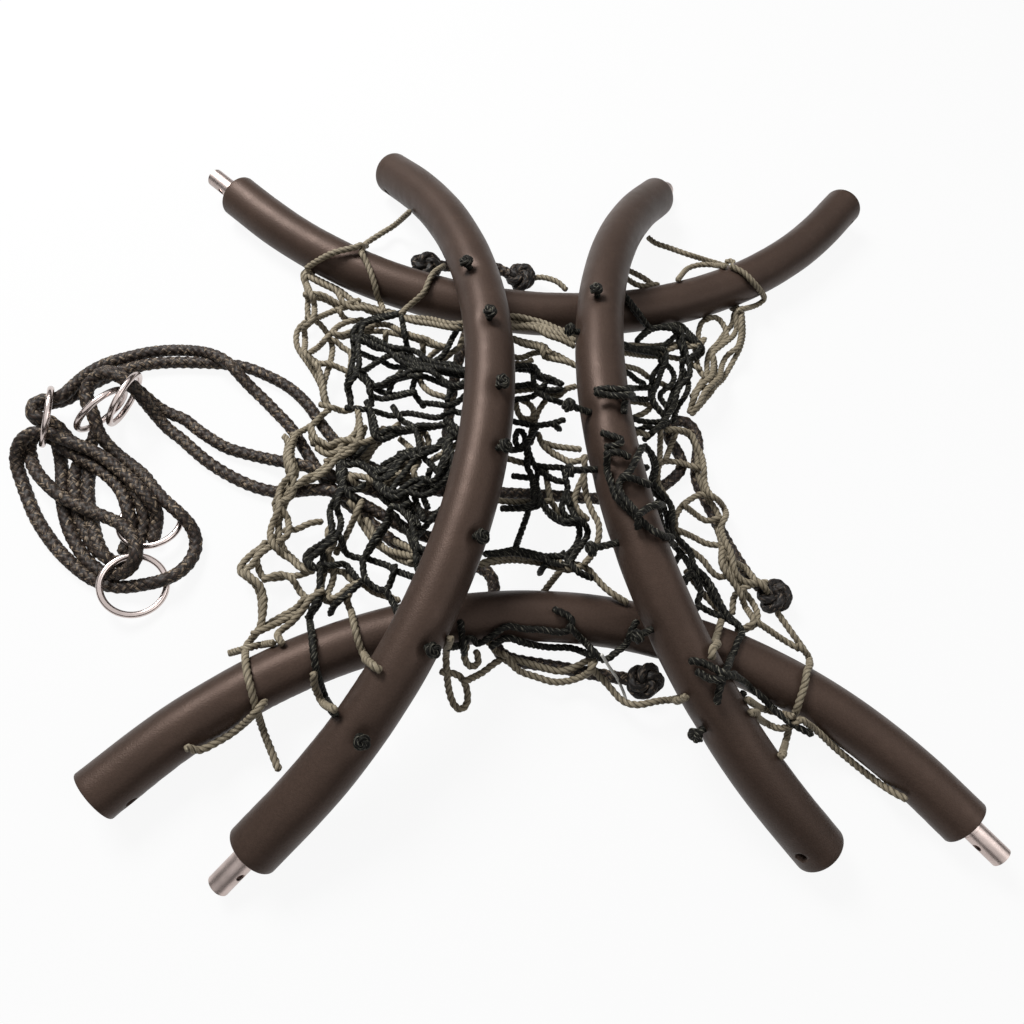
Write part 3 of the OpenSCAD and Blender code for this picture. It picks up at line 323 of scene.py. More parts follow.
BLACK_RIGHT_UPPER = [
    [(118, 178), (130, 172), (145, 166), (158, 161), (170, 157), (178, 150), (180, 140),
     (183, 125), (181, 110), (180, 98), (176, 88), (170, 78), (165, 65), (160, 52), (155, 40),
     (145, 30), (136, 20)],
    [(136, 136), (147, 150), (158, 156), (170, 157), (183, 160), (192, 150), (200, 140),
     (205, 130), (200, 122), (190, 117), (180, 114)],
    [(100, 140), (112, 133), (122, 127), (135, 124), (150, 122), (158, 120), (160, 112),
     (157, 105), (150, 95), (147, 82), (146, 70), (150, 58), (160, 46)],
    [(158, 114), (168, 105), (172, 95), (168, 85), (160, 78), (155, 70), (162, 58)],
    [(182, 104), (186, 90), (184, 78), (178, 68), (172, 58), (166, 42)],
    [(102, 57), (112, 50), (122, 45), (132, 41), (145, 40), (158, 42)],
    [(112, 35), (122, 33), (130, 30), (140, 35), (150, 32), (162, 42)],
    [(160, 128), (168, 136), (176, 144), (180, 150)],
    [(105, 103), (115, 98), (125, 95), (132, 88), (140, 84)],
]
BLACK_RIGHT_UPPER_OVER = [
    [(90, 73), (105, 76), (118, 75), (130, 78), (145, 80)],
    [(90, 70), (102, 68), (118, 68), (130, 66), (142, 66)],
    [(120, 62), (118, 55), (118, 50)],
    [(95, 25), (105, 22), (115, 18), (108, 12), (98, 10)],
    [(98, 3), (110, 5), (120, 0)],
]
OLIVE_RIGHT_LOWER = [
    [(158, 33), (172, 32), (182, 28), (186, 18), (188, 5), (186, -8), (188, -22), (192, -35),
     (197, -45), (202, -55), (200, -68), (202, -82), (205, -95), (208, -108), (215, -118),
     (225, -122), (240, -120)],
    [(190, -8), (170, -3), (158, -2), (150, -5), (147, -15), (147, -28), (152, -38), (157, -48),
     (160, -60), (160, -72), (163, -85), (170, -94)],
    [(150, -4), (151, 10), (153, 34)],
    [(156, 0), (162, 15), (170, 34)],
    [(159, -62), (168, -48), (178, -40), (188, -35), (198, -40)],
    [(168, -46), (180, -56), (190, -62), (204, -58)],
    [(160, -72), (178, -80), (188, -85), (205, -86)],
    [(166, -88), (182, -100), (190, -112), (198, -117), (206, -112), (208, -98)],
    [(202, -88), (203, -105), (210, -118), (217, -128), (224, -138), (228, -148), (226, -158),
     (218, -163), (207, -166)],
    [(206, -98), (222, -108), (230, -118), (238, -125), (243, -138), (248, -150), (254, -160),
     (260, -170), (266, -180)],
    [(205, -150), (208, -135), (215, -128), (230, -121)],
    [(225, -156), (238, -165), (248, -172), (262, -180)],
    [(140, 25), (130, 28), (125, 20), (128, 12), (138, 10)],
]
OLIVE_RIGHT_LOWER_OVER = [
    [(262, -176), (270, -188), (266, -200), (262, -212), (257, -222), (252, -232), (247, -240),
     (242, -250), (238, -260), (233, -270)],
    [(166, -112), (178, -130), (188, -142), (195, -152), (192, -162), (188, -172), (184, -182),
     (182, -190)],
    [(210, -225), (222, -232), (235, -235), (248, -238)],
    [(212, -235), (222, -243), (235, -248), (245, -245), (255, -240)],
    [(255, -240), (268, -250), (280, -262), (295, -275), (310, -287), (325, -297), (335, -302)],
]
BLACK_RIGHT_LOWER = [
    [(136, 14), (142, 3), (144, -10), (140, -25), (145, -38), (150, -50), (153, -62), (152, -75),
     (157, -88), (165, -98), (172, -110), (180, -118), (186, -130), (193, -142), (200, -152),
     (210, -161)],
    [(145, -44), (146, -60), (148, -74)],
    [(126, -70), (128, -88), (122, -98), (128, -108), (135, -120), (142, -130), (148, -136),
     (155, -132), (162, -122), (172, -112)],
    [(124, -92), (128, -82), (135, -90), (145, -100), (155, -105), (162, -96)],
    [(170, -108), (176, -122), (178, -132), (174, -142), (182, -148), (192, -152), (205, -158)],
    [(148, -136), (146, -145), (142, -155)],
]
BLACK_RIGHT_LOWER_OVER = [
    [(99, 4), (98, -15), (102, -30), (105, -42), (112, -50), (120, -58), (128, -65), (135, -72),
     (148, -80), (158, -88)],
    [(134, 12), (130, 5), (125, -5), (120, -15), (112, -22), (108, -32), (112, -42), (120, -52),
     (125, -60), (124, -72)],
    [(200, -154), (212, -165), (207, -175), (200, -188), (195, -198), (190, -208), (185, -220),
     (183, -228)],
    [(186, -206), (200, -205), (212, -213), (222, -222), (235, -235), (248, -245), (262, -252)],
    [(112, -22), (122, -22), (132, -26), (138, -28)],
    [(125, -60), (135, -52), (145, -48), (150, -48)],
    [(163, -193), (175, -195), (185, -200), (195, -205), (202, -205)],
    [(168, -202), (178, -208), (190, -208)],
]
OLIVE_FRONT_OVER = [
    [(-197, -150), (-196, -165), (-198, -178), (-205, -190), (-205, -200), (-202, -212),
     (-197, -225), (-190, -242), (-184, -255), (-176, -270), (-168, -285)],
    [(-217, -197), (-205, -193), (-195, -190), (-185, -188)],
    [(-150, -142), (-160, -150), (-165, -160), (-178, -168), (-190, -175), (-202, -181)],
    [(-42, -180), (-45, -192), (-44, -205), (-42, -220), (-38, -232), (-32, -238), (-26, -232),
     (-28, -218), (-35, -210), (-48, -208)],
    [(-30, -216), (-15, -208), (-5, -200), (5, -195), (20, -198), (35, -202), (50, -205),
     (65, -200), (80, -191)],
    [(76, -198), (80, -205), (90, -215), (102, -228), (115, -231), (130, -228), (145, -226),
     (156, -224)],
    [(-178, -188), (-182, -180), (-172, -170), (-165, -160)],
    [(-185, -235), (-195, -248), (-205, -258), (-215, -265), (-228, -272), (-238, -270)],
    [(-150, -212), (-148, -222), (-140, -235), (-130, -240)],
    [(5, -195), (15, -205), (30, -210), (45, -214), (60, -212), (75, -205), (80, -195)],
    [(-10, -182), (-3, -190), (5, -193)],
    [(-20, -190), (-18, -200), (-25, -203), (-30, -195), (-28, -185)],
]
BLACK_FRONT_OVER = [
    [(-44, -188), (-32, -185), (-25, -178), (-20, -184), (-15, -182), (-5, -175), (5, -168),
     (20, -170), (35, -170), (50, -172), (58, -170), (62, -163), (58, -157), (46, -152)],
    [(-34, -165), (-32, -180), (-30, -192)],
    [(-8, -186), (5, -178), (20, -182), (40, -185), (60, -185), (78, -191)],
    [(58, -166), (72, -180), (80, -188), (88, -195), (98, -188), (108, -180), (112, -170),
     (118, -160)],
]

# ---- More net cords, given in the picture: pixels, for on_plan -------------------
OLIVE_LEFT_UPPER_PX = [
    [(312, 443), (325, 449), (340, 453), (358, 449)],
    [(366, 461), (374, 447), (381, 440), (384, 428)],
    [(423, 429), (429, 440), (428, 450)],
]
OLIVE_LEFT_LOWER_PX = [
    [(326, 461), (342, 456), (356, 447), (362, 437), (365, 427)],
    [(346, 475), (366, 477), (380, 485), (396, 483), (410, 477)],
    [(380, 485), (396, 475), (408, 471), (418, 463)],
    [(400, 439), (412, 449), (420, 461), (413, 471), (418, 483)],
    [(430, 461), (444, 453), (456, 445), (462, 436)],
    [(366, 519), (376, 537), (386, 549), (412, 557)],
    [(336, 554), (346, 537), (356, 513), (362, 501)],
]
BLACK_LEFT_LOWER_PX = [
    [(404, 487), (407, 501), (413, 513), (419, 526)],
    [(410, 484), (415, 498), (420, 510), (424, 520)],
    [(400, 490), (404, 503), (409, 515), (416, 524)],
    [(420, 486), (424, 498), (428, 508)],
    [(382, 497), (390, 505), (400, 507), (410, 503)],
    [(340, 461), (345, 470), (342, 482), (347, 493), (357, 500)],
    [(353, 462), (362, 466), (375, 470), (388, 469)],
    [(400, 452), (396, 463), (388, 474), (378, 482)],
    [(430, 470), (426, 480), (416, 488), (402, 493)],
    [(440, 440), (446, 450), (447, 462), (440, 474)],
]

# ---- Hanging ropes: (x, y, height), or (x, y) where one lies on the floor. The
# plan level is LEVEL_ROPE.
ROUTE_1 = [
    (-364, -19), (-366, -33), (-364, -51), (-359, -69), (-352, -86, 8), (-345, -102, 14),
    (-337, -114, 15), (-327, -120, 10), (-317, -117, 6), (-312, -108), (-311, -96),
    (-310, -83, 6), (-314, -70, 10), (-321, -57, 13), (-330, -44, 13), (-342, -33, 13),
    (-354, -24, 14), (-366, -17, 15), (-379, -12, 16), (-391, -5, 17), (-402, 7, 23),
    (-414.5, 14.4, 31), (-424, 15, 34), (-430, 23, 36), (-427, 33, 37), (-417, 35, 34.8),
    (-407, 38.5, 30), (-399, 52, 23), (-389, 66, 15), (-375, 78, 9), (-358, 86, 7), (-340, 93),
    (-320, 97), (-300, 98, 6), (-284, 96, 11), (-270, 90, 15), (-260, 81, 15), (-250, 70, 11),
    (-239, 59, 6), (-226, 47), (-213, 34), (-200, 21), (-188, 4), (-176, -14), (-162, -33),
    (-148, -48), (-130, -62), (-110, -79), (-90, -94), (-65, -103), (-40, -108, 6),
    (-18, -111, 8), (-7, -120, 7), (-5, -135), (-5, -155), (-5, -175), (0, -187), (12, -193),
    (32, -196, 6), (55, -199, 7), (80, -203, 9), (104, -206, 10), (115, -207, 9),
]
ROUTE_2 = [
    (-322, -110), (-320, -96), (-321, -83, 11.5), (-327, -70, 15.5), (-333, -57, 14),
    (-342, -46, 13), (-353, -37, 14), (-365, -29, 15), (-378, -23, 15), (-390, -16, 15),
    (-401, -8, 15), (-413, -1, 16.4), (-420, -3, 14.5), (-423, -11, 10), (-419, -22, 9),
    (-414, -33, 12), (-406, -43, 16), (-396, -52, 17), (-386, -60, 17), (-372, -67, 16),
    (-358, -73, 17), (-345, -78, 20), (-332, -83, 23), (-321, -91, 27), (-314, -101, 29),
    (-311, -112, 29), (-313, -123, 22), (-321, -130, 13), (-334, -129, 7), (-347, -121),
    (-359, -108), (-370, -92), (-378, -75), (-384, -58), (-388, -40), (-393, -24), (-400, -8, 6),
    (-405, 5, 12), (-414, 11, 18.6), (-424, 13, 20), (-429, 20, 20), (-426, 28, 22),
    (-416, 30.5, 24.3), (-403, 35, 17), (-390, 48, 10), (-376, 60), (-359, 71), (-340, 79),
    (-320, 83), (-291, 85), (-262, 85), (-245, 82), (-230, 76), (-215, 69), (-200, 59),
    (-184, 43), (-172, 26), (-155, 6), (-132, -12), (-108, -23), (-84, -33), (-56, -38),
    (-20, -37), (40, -37), (90, -38), (122, -35), (148, -26), (165, -14), (177, 1), (173, 18),
    (165, 33, 6), (170, 49, 8), (183, 53, 8), (193, 42, 7), (195, 25), (191, 4), (190, -15),
    (200, -42), (214, -78), (232, -112, 8), (240, -119, 9),
]
ROUTE_3 = [
    (-341, -112), (-350, -102), (-360, -88), (-368, -72), (-374, -55), (-378, -38), (-375, -25),
    (-371.5, -12.5, 6), (-369, 1, 10), (-371, 13, 16), (-378.5, 25.5, 18), (-386, 36.5, 19),
    (-387, 46, 22), (-383, 58, 26), (-378, 69, 29), (-364.5, 68, 31), (-355, 61, 30),
    (-347, 54.5, 28), (-334, 44, 20), (-319.5, 32.5, 9), (-305, 25.5), (-296, 23), (-282, 12),
    (-268, 3), (-254, -5), (-240, -9), (-222, -13, 6), (-204, -16, 11), (-188, -18, 15),
    (-172, -22, 15), (-156, -28, 13), (-138, -35, 6), (-118, -41), (-98, -48), (-80, -58),
    (-64, -65, 7), (-50, -60, 12), (-44, -44, 15), (-46, -25, 15), (-51, -4, 8), (-53, 22),
    (-52, 50), (-49, 80), (-45, 110, 6), (-39, 138, 12), (-33, 158, 26), (-29, 173, 42),
    (-27, 186, 49), (-28, 199, 47), (-31, 212, 36), (-38, 222, 22), (-48, 226, 12), (-60, 226, 9),
    (-72, 226, 9),
]
ROUTE_4 = [
    (-300, -98), (-300, -86, 6), (-301, -74, 11), (-307, -64, 19), (-318, -53, 22),
    (-331, -41, 22), (-345, -30, 23), (-359, -20, 24), (-373, -13, 25), (-387, -8, 26),
    (-400, -3, 26), (-413, 1.7, 27), (-423, 0, 26), (-430, -7, 24), (-431, -18, 18),
    (-428, -32, 10), (-420, -47), (-411, -63), (-400, -81), (-388, -96), (-375, -110),
    (-361, -122), (-347, -132), (-332, -139), (-316, -141, 6), (-300, -138, 11), (-286, -134, 15),
    (-273, -126, 11), (-265, -113, 7), (-264, -99, 6), (-270, -85, 11), (-283, -72, 18.5),
    (-298, -60, 15), (-310, -48, 12), (-319.5, -37, 9), (-332, -27.5, 8), (-345.5, -18, 9),
    (-358, -7, 13), (-368, 5, 19), (-374.5, 20, 26), (-381.5, 32.5, 30), (-387.5, 44, 32),
    (-386, 56, 35), (-379, 65, 41), (-367.5, 66.5, 45), (-350.5, 56, 40), (-336.5, 41.5, 28),
    (-321, 24.5, 12), (-306, 9.5), (-296, 3), (-282, -9), (-268, -20), (-252, -30), (-236, -38),
    (-220, -44), (-204, -47, 6), (-188, -46, 10), (-172, -43, 15), (-156, -43, 15),
    (-138, -49, 14), (-120, -58, 8), (-102, -68), (-75, -82), (-49, -84, 8), (-36, -72, 11),
    (-31, -54, 15), (-31, -35, 15), (-34, -14, 9), (-36, 15), (-32, 68), (-26, 118, 6),
    (-21, 145, 16), (-17, 162, 31), (-15, 176, 45), (-15, 194, 49), (-17, 211, 36),
    (-18, 225, 19), (-13, 231, 11), (-3, 226, 9), (6, 221, 9),
]


# ---- Vectors and tubes ---------------------------------------------------------
def unit(v):
    return v / np.maximum(np.linalg.norm(v, axis=-1, keepdims=True), 1e-9)


def rotation(degrees):
    """Roll about X, then lean about Y, then heading about Z, as one matrix."""
    a, b, c = np.radians(degrees)
    roll = np.array([[1, 0, 0], [0, np.cos(a), -np.sin(a)], [0, np.sin(a), np.cos(a)]])
    lean = np.array([[np.cos(b), 0, np.sin(b)], [0, 1, 0], [-np.sin(b), 0, np.cos(b)]])
    heading = np.array([[np.cos(c), -np.sin(c), 0], [np.sin(c), np.cos(c), 0], [0, 0, 1]])
    return heading @ lean @ roll


class Tube:
    """One quarter tube: where its centre line runs, and how near a point is to it."""

    def __init__(self, middle, degrees):
        self.middle = np.array(middle, float)
        self.turn = rotation(degrees)

    def frame(self, u):
        """Centre, outward and along directions at distances u along the tube."""
        u = np.asarray(u, float)
        t = np.clip(u / BEND_R, -HALF_TURN, HALF_TURN)
        over = u - BEND_R * t
        zero = np.zeros_like(t)
        out = np.stack([np.cos(t), np.sin(t), zero], -1)
        along = np.stack([-np.sin(t), np.cos(t), zero], -1)
        centre = BEND_R * (out - np.array([1.0, 0, 0])) + over[..., None] * along
        return (self.middle + centre @ self.turn.T, out @ self.turn.T, along @ self.turn.T)

    def up(self):
        return self.turn[:, 2]

    def at(self, u, angle, radius):
        """A point at an angle in degrees round the tube, 0 being outwards."""
        centre, out, _ = self.frame(u)
        a = math.radians(angle)
        return centre + radius * (math.cos(a) * out + math.sin(a) * self.up())

    def nearest(self, p):
        """Nearest points of the centre line to points p."""
        q = (p - self.middle) @ self.turn
        t = np.clip(np.arctan2(q[:, 1], q[:, 0] + BEND_R), -HALF_TURN, HALF_TURN)
        out = np.stack([np.cos(t), np.sin(t), 0 * t], -1)
        along = np.stack([-np.sin(t), np.cos(t), 0 * t], -1)
        c = BEND_R * (out - np.array([1.0, 0, 0]))
        over = np.einsum("ij,ij->i", q - c, along)
        over = np.where(t >= HALF_TURN, np.clip(over, 0, STRAIGHT),
                        np.where(t <= -HALF_TURN, np.clip(over, -STRAIGHT, 0), 0))
        return self.middle + (c + over[:, None] * along) @ self.turn.T

    def push_off(self, p, radius):
        c = self.nearest(p)
        away = p - c
        gap = np.linalg.norm(away, axis=1, keepdims=True)
        return np.where(gap < radius, c + unit(away) * radius, p)

    def plan_gap(self, p):
        flat = np.column_stack([p[:, :2], np.full(len(p), HEAP_PLANE)])
        return np.linalg.norm(self.nearest(flat)[:, :2] - p[:, :2], axis=1)


TUBES = {name: Tube(*pose) for name, pose in POSES.items()}


def off_tubes(p, radius):
    for tube in TUBES.values():
        p = tube.push_off(p, radius)
    return p


def in_foam(p, radius):
    inside = np.zeros(len(p), bool)
    for tube in TUBES.values():
        inside |= np.linalg.norm(p - tube.nearest(p), axis=1) < radius
    return inside


# ---- Laying out cords ----------------------------------------------------------
# Cords are laid out on a level plane under one eye point. One that lies higher
# or lower slides along its sight line.
PLAN_EYE = np.array([-51.0, -341.0, 670.0])
HEAP_LOW = 8.0
HEAP_RISE = 40.0
HEAP_REACH = 58.0
HEAP_WAVE = 5.0
HEAP_PLANE = 50.0
HEAP_END = 300.0
HEAP_FALL = 160.0
HEAP_LEAST = 0.1
TUCK = 5.0
STEP_UP = 3.0
DRAPE_FROM = 140.0
CORD_STEP = 1.8
CURVE_PARTS = 12
# How far a net cord presses into the foam
FOAM_PRESS = 0.3


def on_plan(strands):
    """Cords given in pixels, as whole millimetres on the plan at LEVEL_SIDE."""
    placed = []
    for pixels in strands:
        x, y = (np.array(pixels) - CENTRE_PX).T / FOCAL_PX
        rays = VIEW_FORWARD + np.outer(x, VIEW_RIGHT) - np.outer(y, VIEW_UP)
        points = EYE + rays * (LEVEL_SIDE - EYE[2]) / rays[:, 2:]
        placed.append(points[:, :2].round().tolist())
    return placed


def slide(p, level, z):
    """Moves points along their sight lines, from a level or levels to heights z."""
    k = ((PLAN_EYE[2] - z) / (PLAN_EYE[2] - level))[:, None]
    return np.column_stack([PLAN_EYE[:2] + (p[:, :2] - PLAN_EYE[:2]) * k, z])


def heap(p):
    """Height of the heaped net over the floor."""
    near_b = np.exp(-(TUBES["b"].plan_gap(p) / HEAP_REACH) ** 2)
    near_c = np.exp(-(TUBES["c"].plan_gap(p) / HEAP_REACH) ** 2)
    ends = np.clip((HEAP_END - np.abs(p[:, 1])) / HEAP_FALL, HEAP_LEAST, 1)
    x, y = np.radians(p[:, 0]), np.radians(p[:, 1])
    wave = (1 + np.sin(5 * x + 2 * y)) * (1 + np.sin(4 * y - 3 * x)) / 2
    return HEAP_LOW + HEAP_RISE * np.maximum(near_b, near_c) * ends + HEAP_WAVE * wave


def smooth_curve(points, step):
    """Points about a step apart on a Catmull-Rom curve through the given ones."""
    p = np.array(points, float)
    p = np.vstack([2 * p[0] - p[1], p, 2 * p[-1] - p[-2]])
    t = np.linspace(0, 1, CURVE_PARTS, endpoint=False)[:, None]
    parts = []
    for a, b, c, d in zip(p, p[1:], p[2:], p[3:]):
        parts.append(0.5 * (2 * b + (c - a) * t + (2 * a - 5 * b + 4 * c - d) * t ** 2
                            + (3 * b - a - 3 * c + d) * t ** 3))
    return evenly(np.vstack(parts + [p[-2:-1]]), step)


def run_lengths(line):
    """The distance along a line to each of its points."""
    return np.concatenate([[0], np.cumsum(np.linalg.norm(np.diff(line, axis=0), axis=1))])


def evenly(line, step):
    """The same line with points a step apart."""
    s = run_lengths(line)
    count = max(int(round(s[-1] / step)), 3)
    at = np.linspace(0, s[-1], count + 1)
    return np.column_stack([np.interp(at, s, line[:, k]) for k in range(3)])


def softened(values, passes):
    """Values evened out with their neighbours; the two ends stay."""
    for _ in range(passes):
        inner = (values[:-2] + 2 * values[1:-1] + values[2:]) / 4
        values = np.concatenate([values[:1], inner, values[-1:]])
    return values


class Pile:
    """How high the cords already laid reach, on a grid of the plan."""

    CELL = 1.5
    SIZE = 1024
    LIMIT = 16.0
    EDGE = 3

    def __init__(self):
        self.top = np.zeros((self.SIZE, self.SIZE))

    def cells(self, p):
        on_floor = slide(p, p[:, 2], np.zeros(len(p)))[:, :2]
        i = (on_floor / self.CELL + self.SIZE / 2).astype(int)
        return np.clip(i, self.EDGE, self.SIZE - 1 - self.EDGE)

    def below(self, p, radius):
        i = self.cells(p)
        reach = int(radius / self.CELL)
        best = np.zeros(len(p))
        for dx in range(-reach, reach + 1):
            for dy in range(-reach, reach + 1):
                best = np.maximum(best, self.top[i[:, 0] + dx, i[:, 1] + dy])
        return best

    def add(self, p, radius):
        i = self.cells(p)
        reach = int(radius / self.CELL) + 1
        for dx in range(-reach, reach + 1):
            for dy in range(-reach, reach + 1):
                gap = self.CELL * math.hypot(dx, dy)
                if gap < radius:
                    z = p[:, 2] + math.sqrt(radius ** 2 - gap ** 2)
                    np.maximum.at(self.top, (i[:, 0] + dx, i[:, 1] + dy), z)


pile = Pile()


def draped(flat, level, low):
    """Heights of a cord that lies over the tubes: just above the foam, or low."""
    z = low.copy()
    search = np.full(len(flat), DRAPE_FROM)
    falling = np.ones(len(flat), bool)
    while falling.any():
        hit = falling & in_foam(slide(flat, level, search), CORD_OFF)
        z[hit] = search[hit] + STEP_UP
        search = search - STEP_UP
        falling &= ~hit & (search > low)
    return z


def tucked(low):
    """Heights of a cord that lies in the heap, with both ends a little lower."""
    z = low.copy()
    z[[0, -1]] -= TUCK
    return np.maximum(z, CORD_LOW)


def lifted(line):
    """The line raised where cords that are already laid would meet it."""
    own = line[:, 2]
    below = pile.below(line, NET_R)
    lift = np.clip(below + NET_R - own, 0, Pile.LIMIT)
    lift = np.where(below > own - NET_R, lift, 0)
    for _ in range(4):
        lift = np.maximum(lift, softened(lift, 2))
    return slide(line, own, own + softened(lift, 3))


def lay_strand(points, level, over):
    """The centre line of one net cord, resting on what lies under it."""
    flat = np.array(points, float)
    low = np.maximum(heap(flat), CORD_LOW)
    z = draped(flat, level, low) if over else tucked(low)
    p = off_tubes(slide(flat, level, z), CORD_OFF)
    p[:, 2] = np.maximum(p[:, 2], CORD_LOW)
    line = off_tubes(smooth_curve(p, CORD_STEP), CORD_OFF - FOAM_PRESS)
    line = softened(off_tubes(lifted(line), CORD_OFF - FOAM_PRESS), 3)
    line[:, 2] = np.maximum(line[:, 2], CORD_LOW)
    pile.add(line, NET_R)
    return evenly(line, CORD_STEP)


# ---- Meshes ----------------------------------------------------------------------
def carried_sides(line):
    """Tangents of a line, and side vectors carried along it without twisting."""
    t = unit(np.gradient(line, axis=0))
    side = np.cross(t[0], [1.0, 0, 0] if abs(t[0][2]) > 0.9 else [0, 0, 1.0])
    sides = np.empty_like(t)
    for i, along in enumerate(t):
        side = side - along * side.dot(along)
        side /= np.linalg.norm(side)
        sides[i] = side
    return t, sides


def new_object(name, points, faces, uvs=None):
    """A smooth mesh object from points in millimetres."""
    mesh = bpy.data.meshes.new(name)
    mesh.from_pydata((np.asarray(points) * MM).tolist(), [], faces)
    mesh.polygons.foreach_set("use_smooth", [True] * len(mesh.polygons))
    if uvs is not None:
        layer = mesh.uv_layers.new(name="UVMap")
        layer.data.foreach_set("uv", np.asarray(uvs, np.float32).ravel())
    mesh.update()
    obj = bpy.data.objects.new(name, mesh)
    bpy.context.scene.collection.objects.link(obj)
    return obj


# A tube's rounded end: how far it bulges and how wide its cap is, as shares
END_BULGE = 0.5
END_CAP = 0.55


class Skin:
    """Points, faces and UVs of several tubes that end up in one mesh."""

    def __init__(self):
        self.points, self.faces, self.uvs, self.count = [], [], [], 0

    def tube(self, line, sides, radius_at):
        """A closed tube along a line; radius_at gives radii at angles and lengths."""
        t, side = carried_sides(line)
        other = np.cross(t, side)
        s = run_lengths(line)
        angle = np.linspace(0, 2 * np.pi, sides, endpoint=False)
        radii = radius_at(angle[None, :], s[:, None])
        ring = (line[:, None, :] + radii[..., None]
                * (np.cos(angle)[None, :, None] * side[:, None, :]
                   + np.sin(angle)[None, :, None] * other[:, None, :]))
        bulge = radii[0].mean() * END_BULGE
        first = line[0] - t[0] * bulge + (ring[0] - line[0]) * END_CAP
        last = line[-1] + t[-1] * bulge + (ring[-1] - line[-1]) * END_CAP
        ring = np.concatenate([first[None], ring, last[None]])
        s = np.concatenate([[s[0] - bulge], s, [s[-1] + bulge]])
        rows = len(ring)
        base = self.count
        self.points.append(ring.reshape(-1, 3))
        i = np.arange(rows - 1)[:, None] * sides
        k = np.arange(sides)[None, :]
        n = (k + 1) % sides
        quads = np.stack([i + k, i + n, i + sides + n, i + sides + k], -1).reshape(-1, 4)
        self.faces += (quads + base).tolist()
        u0, u1 = angle / (2 * np.pi), angle / (2 * np.pi) + 1 / sides
        v0 = np.repeat(s[:-1], sides) * MM
        v1 = np.repeat(s[1:], sides) * MM
        a, b = np.tile(u0, rows - 1), np.tile(u1, rows - 1)
        self.uvs.append(np.stack([a, v0, b, v0, b, v1, a, v1], -1).reshape(-1, 2))
        for face, at in ((range(sides - 1, -1, -1), 0), (range(sides), (rows - 1) * sides)):
            self.faces.append([base + at + j for j in face])
            self.uvs.append(np.tile([[0.5, s[0 if at == 0 else -1] * MM]], (sides, 1)))
        self.count += rows * sides

    def build(self, name):
        return new_object(name, np.vstack(self.points), self.faces, np.vstack(self.uvs))


# Net cord: three strands laid round each other
LAY_PITCH = 17.0
GROOVE = 0.36
NET_SIDES = 15


def laid_radius(angle, s):
    wave = np.abs(np.cos(1.5 * (angle - 2 * np.pi * s / LAY_PITCH)))
    return NET_R * (1 - GROOVE * (1 - wave))


# Rope: a round braid, whose bands pass over and under each other
BRAID_BANDS = 5
BRAID_PITCH = 8.0
BRAID_DEPTH = 1.5
BRAID_R = 5.7
BAND_BOW = 0.6
BAND_END = 0.55
BAND_MEAN = 0.85
ROPE_SIDES = 30
ROPE_STEP = 1.1


def braid_height(angle, s):
    """How high a band stands at a place on the rope, from 0 to 1."""
    a = BRAID_BANDS * angle / (2 * np.pi) + s / BRAID_PITCH
    b = BRAID_BANDS * angle / (2 * np.pi) - s / BRAID_PITCH
    fa, fb = a % 1, b % 1
    over = (np.floor(a) + np.floor(b)) % 2
    across = np.where(over > 0, fa, fb)
    along = np.where(over > 0, fb, fa)
    rise = BAND_END + (1 - BAND_END) * np.sin(np.pi * along)
    return np.sin(np.pi * across) ** BAND_BOW * rise


def braided_radius(full):
    def radius(angle, s):
        return full * (1 + BRAID_DEPTH * (braid_height(angle, s) - BAND_MEAN) / BRAID_R)
    return radius


# ---- Materials -------------------------------------------------------------------
def linear(r, g, b):
    """A display colour, 0 to 255, as linear light."""
    return tuple((c / 255 / 12.92) if c <= 10 else ((c / 255 + 0.055) / 1.055) ** 2.4
                 for c in (r, g, b)) + (1.0,)


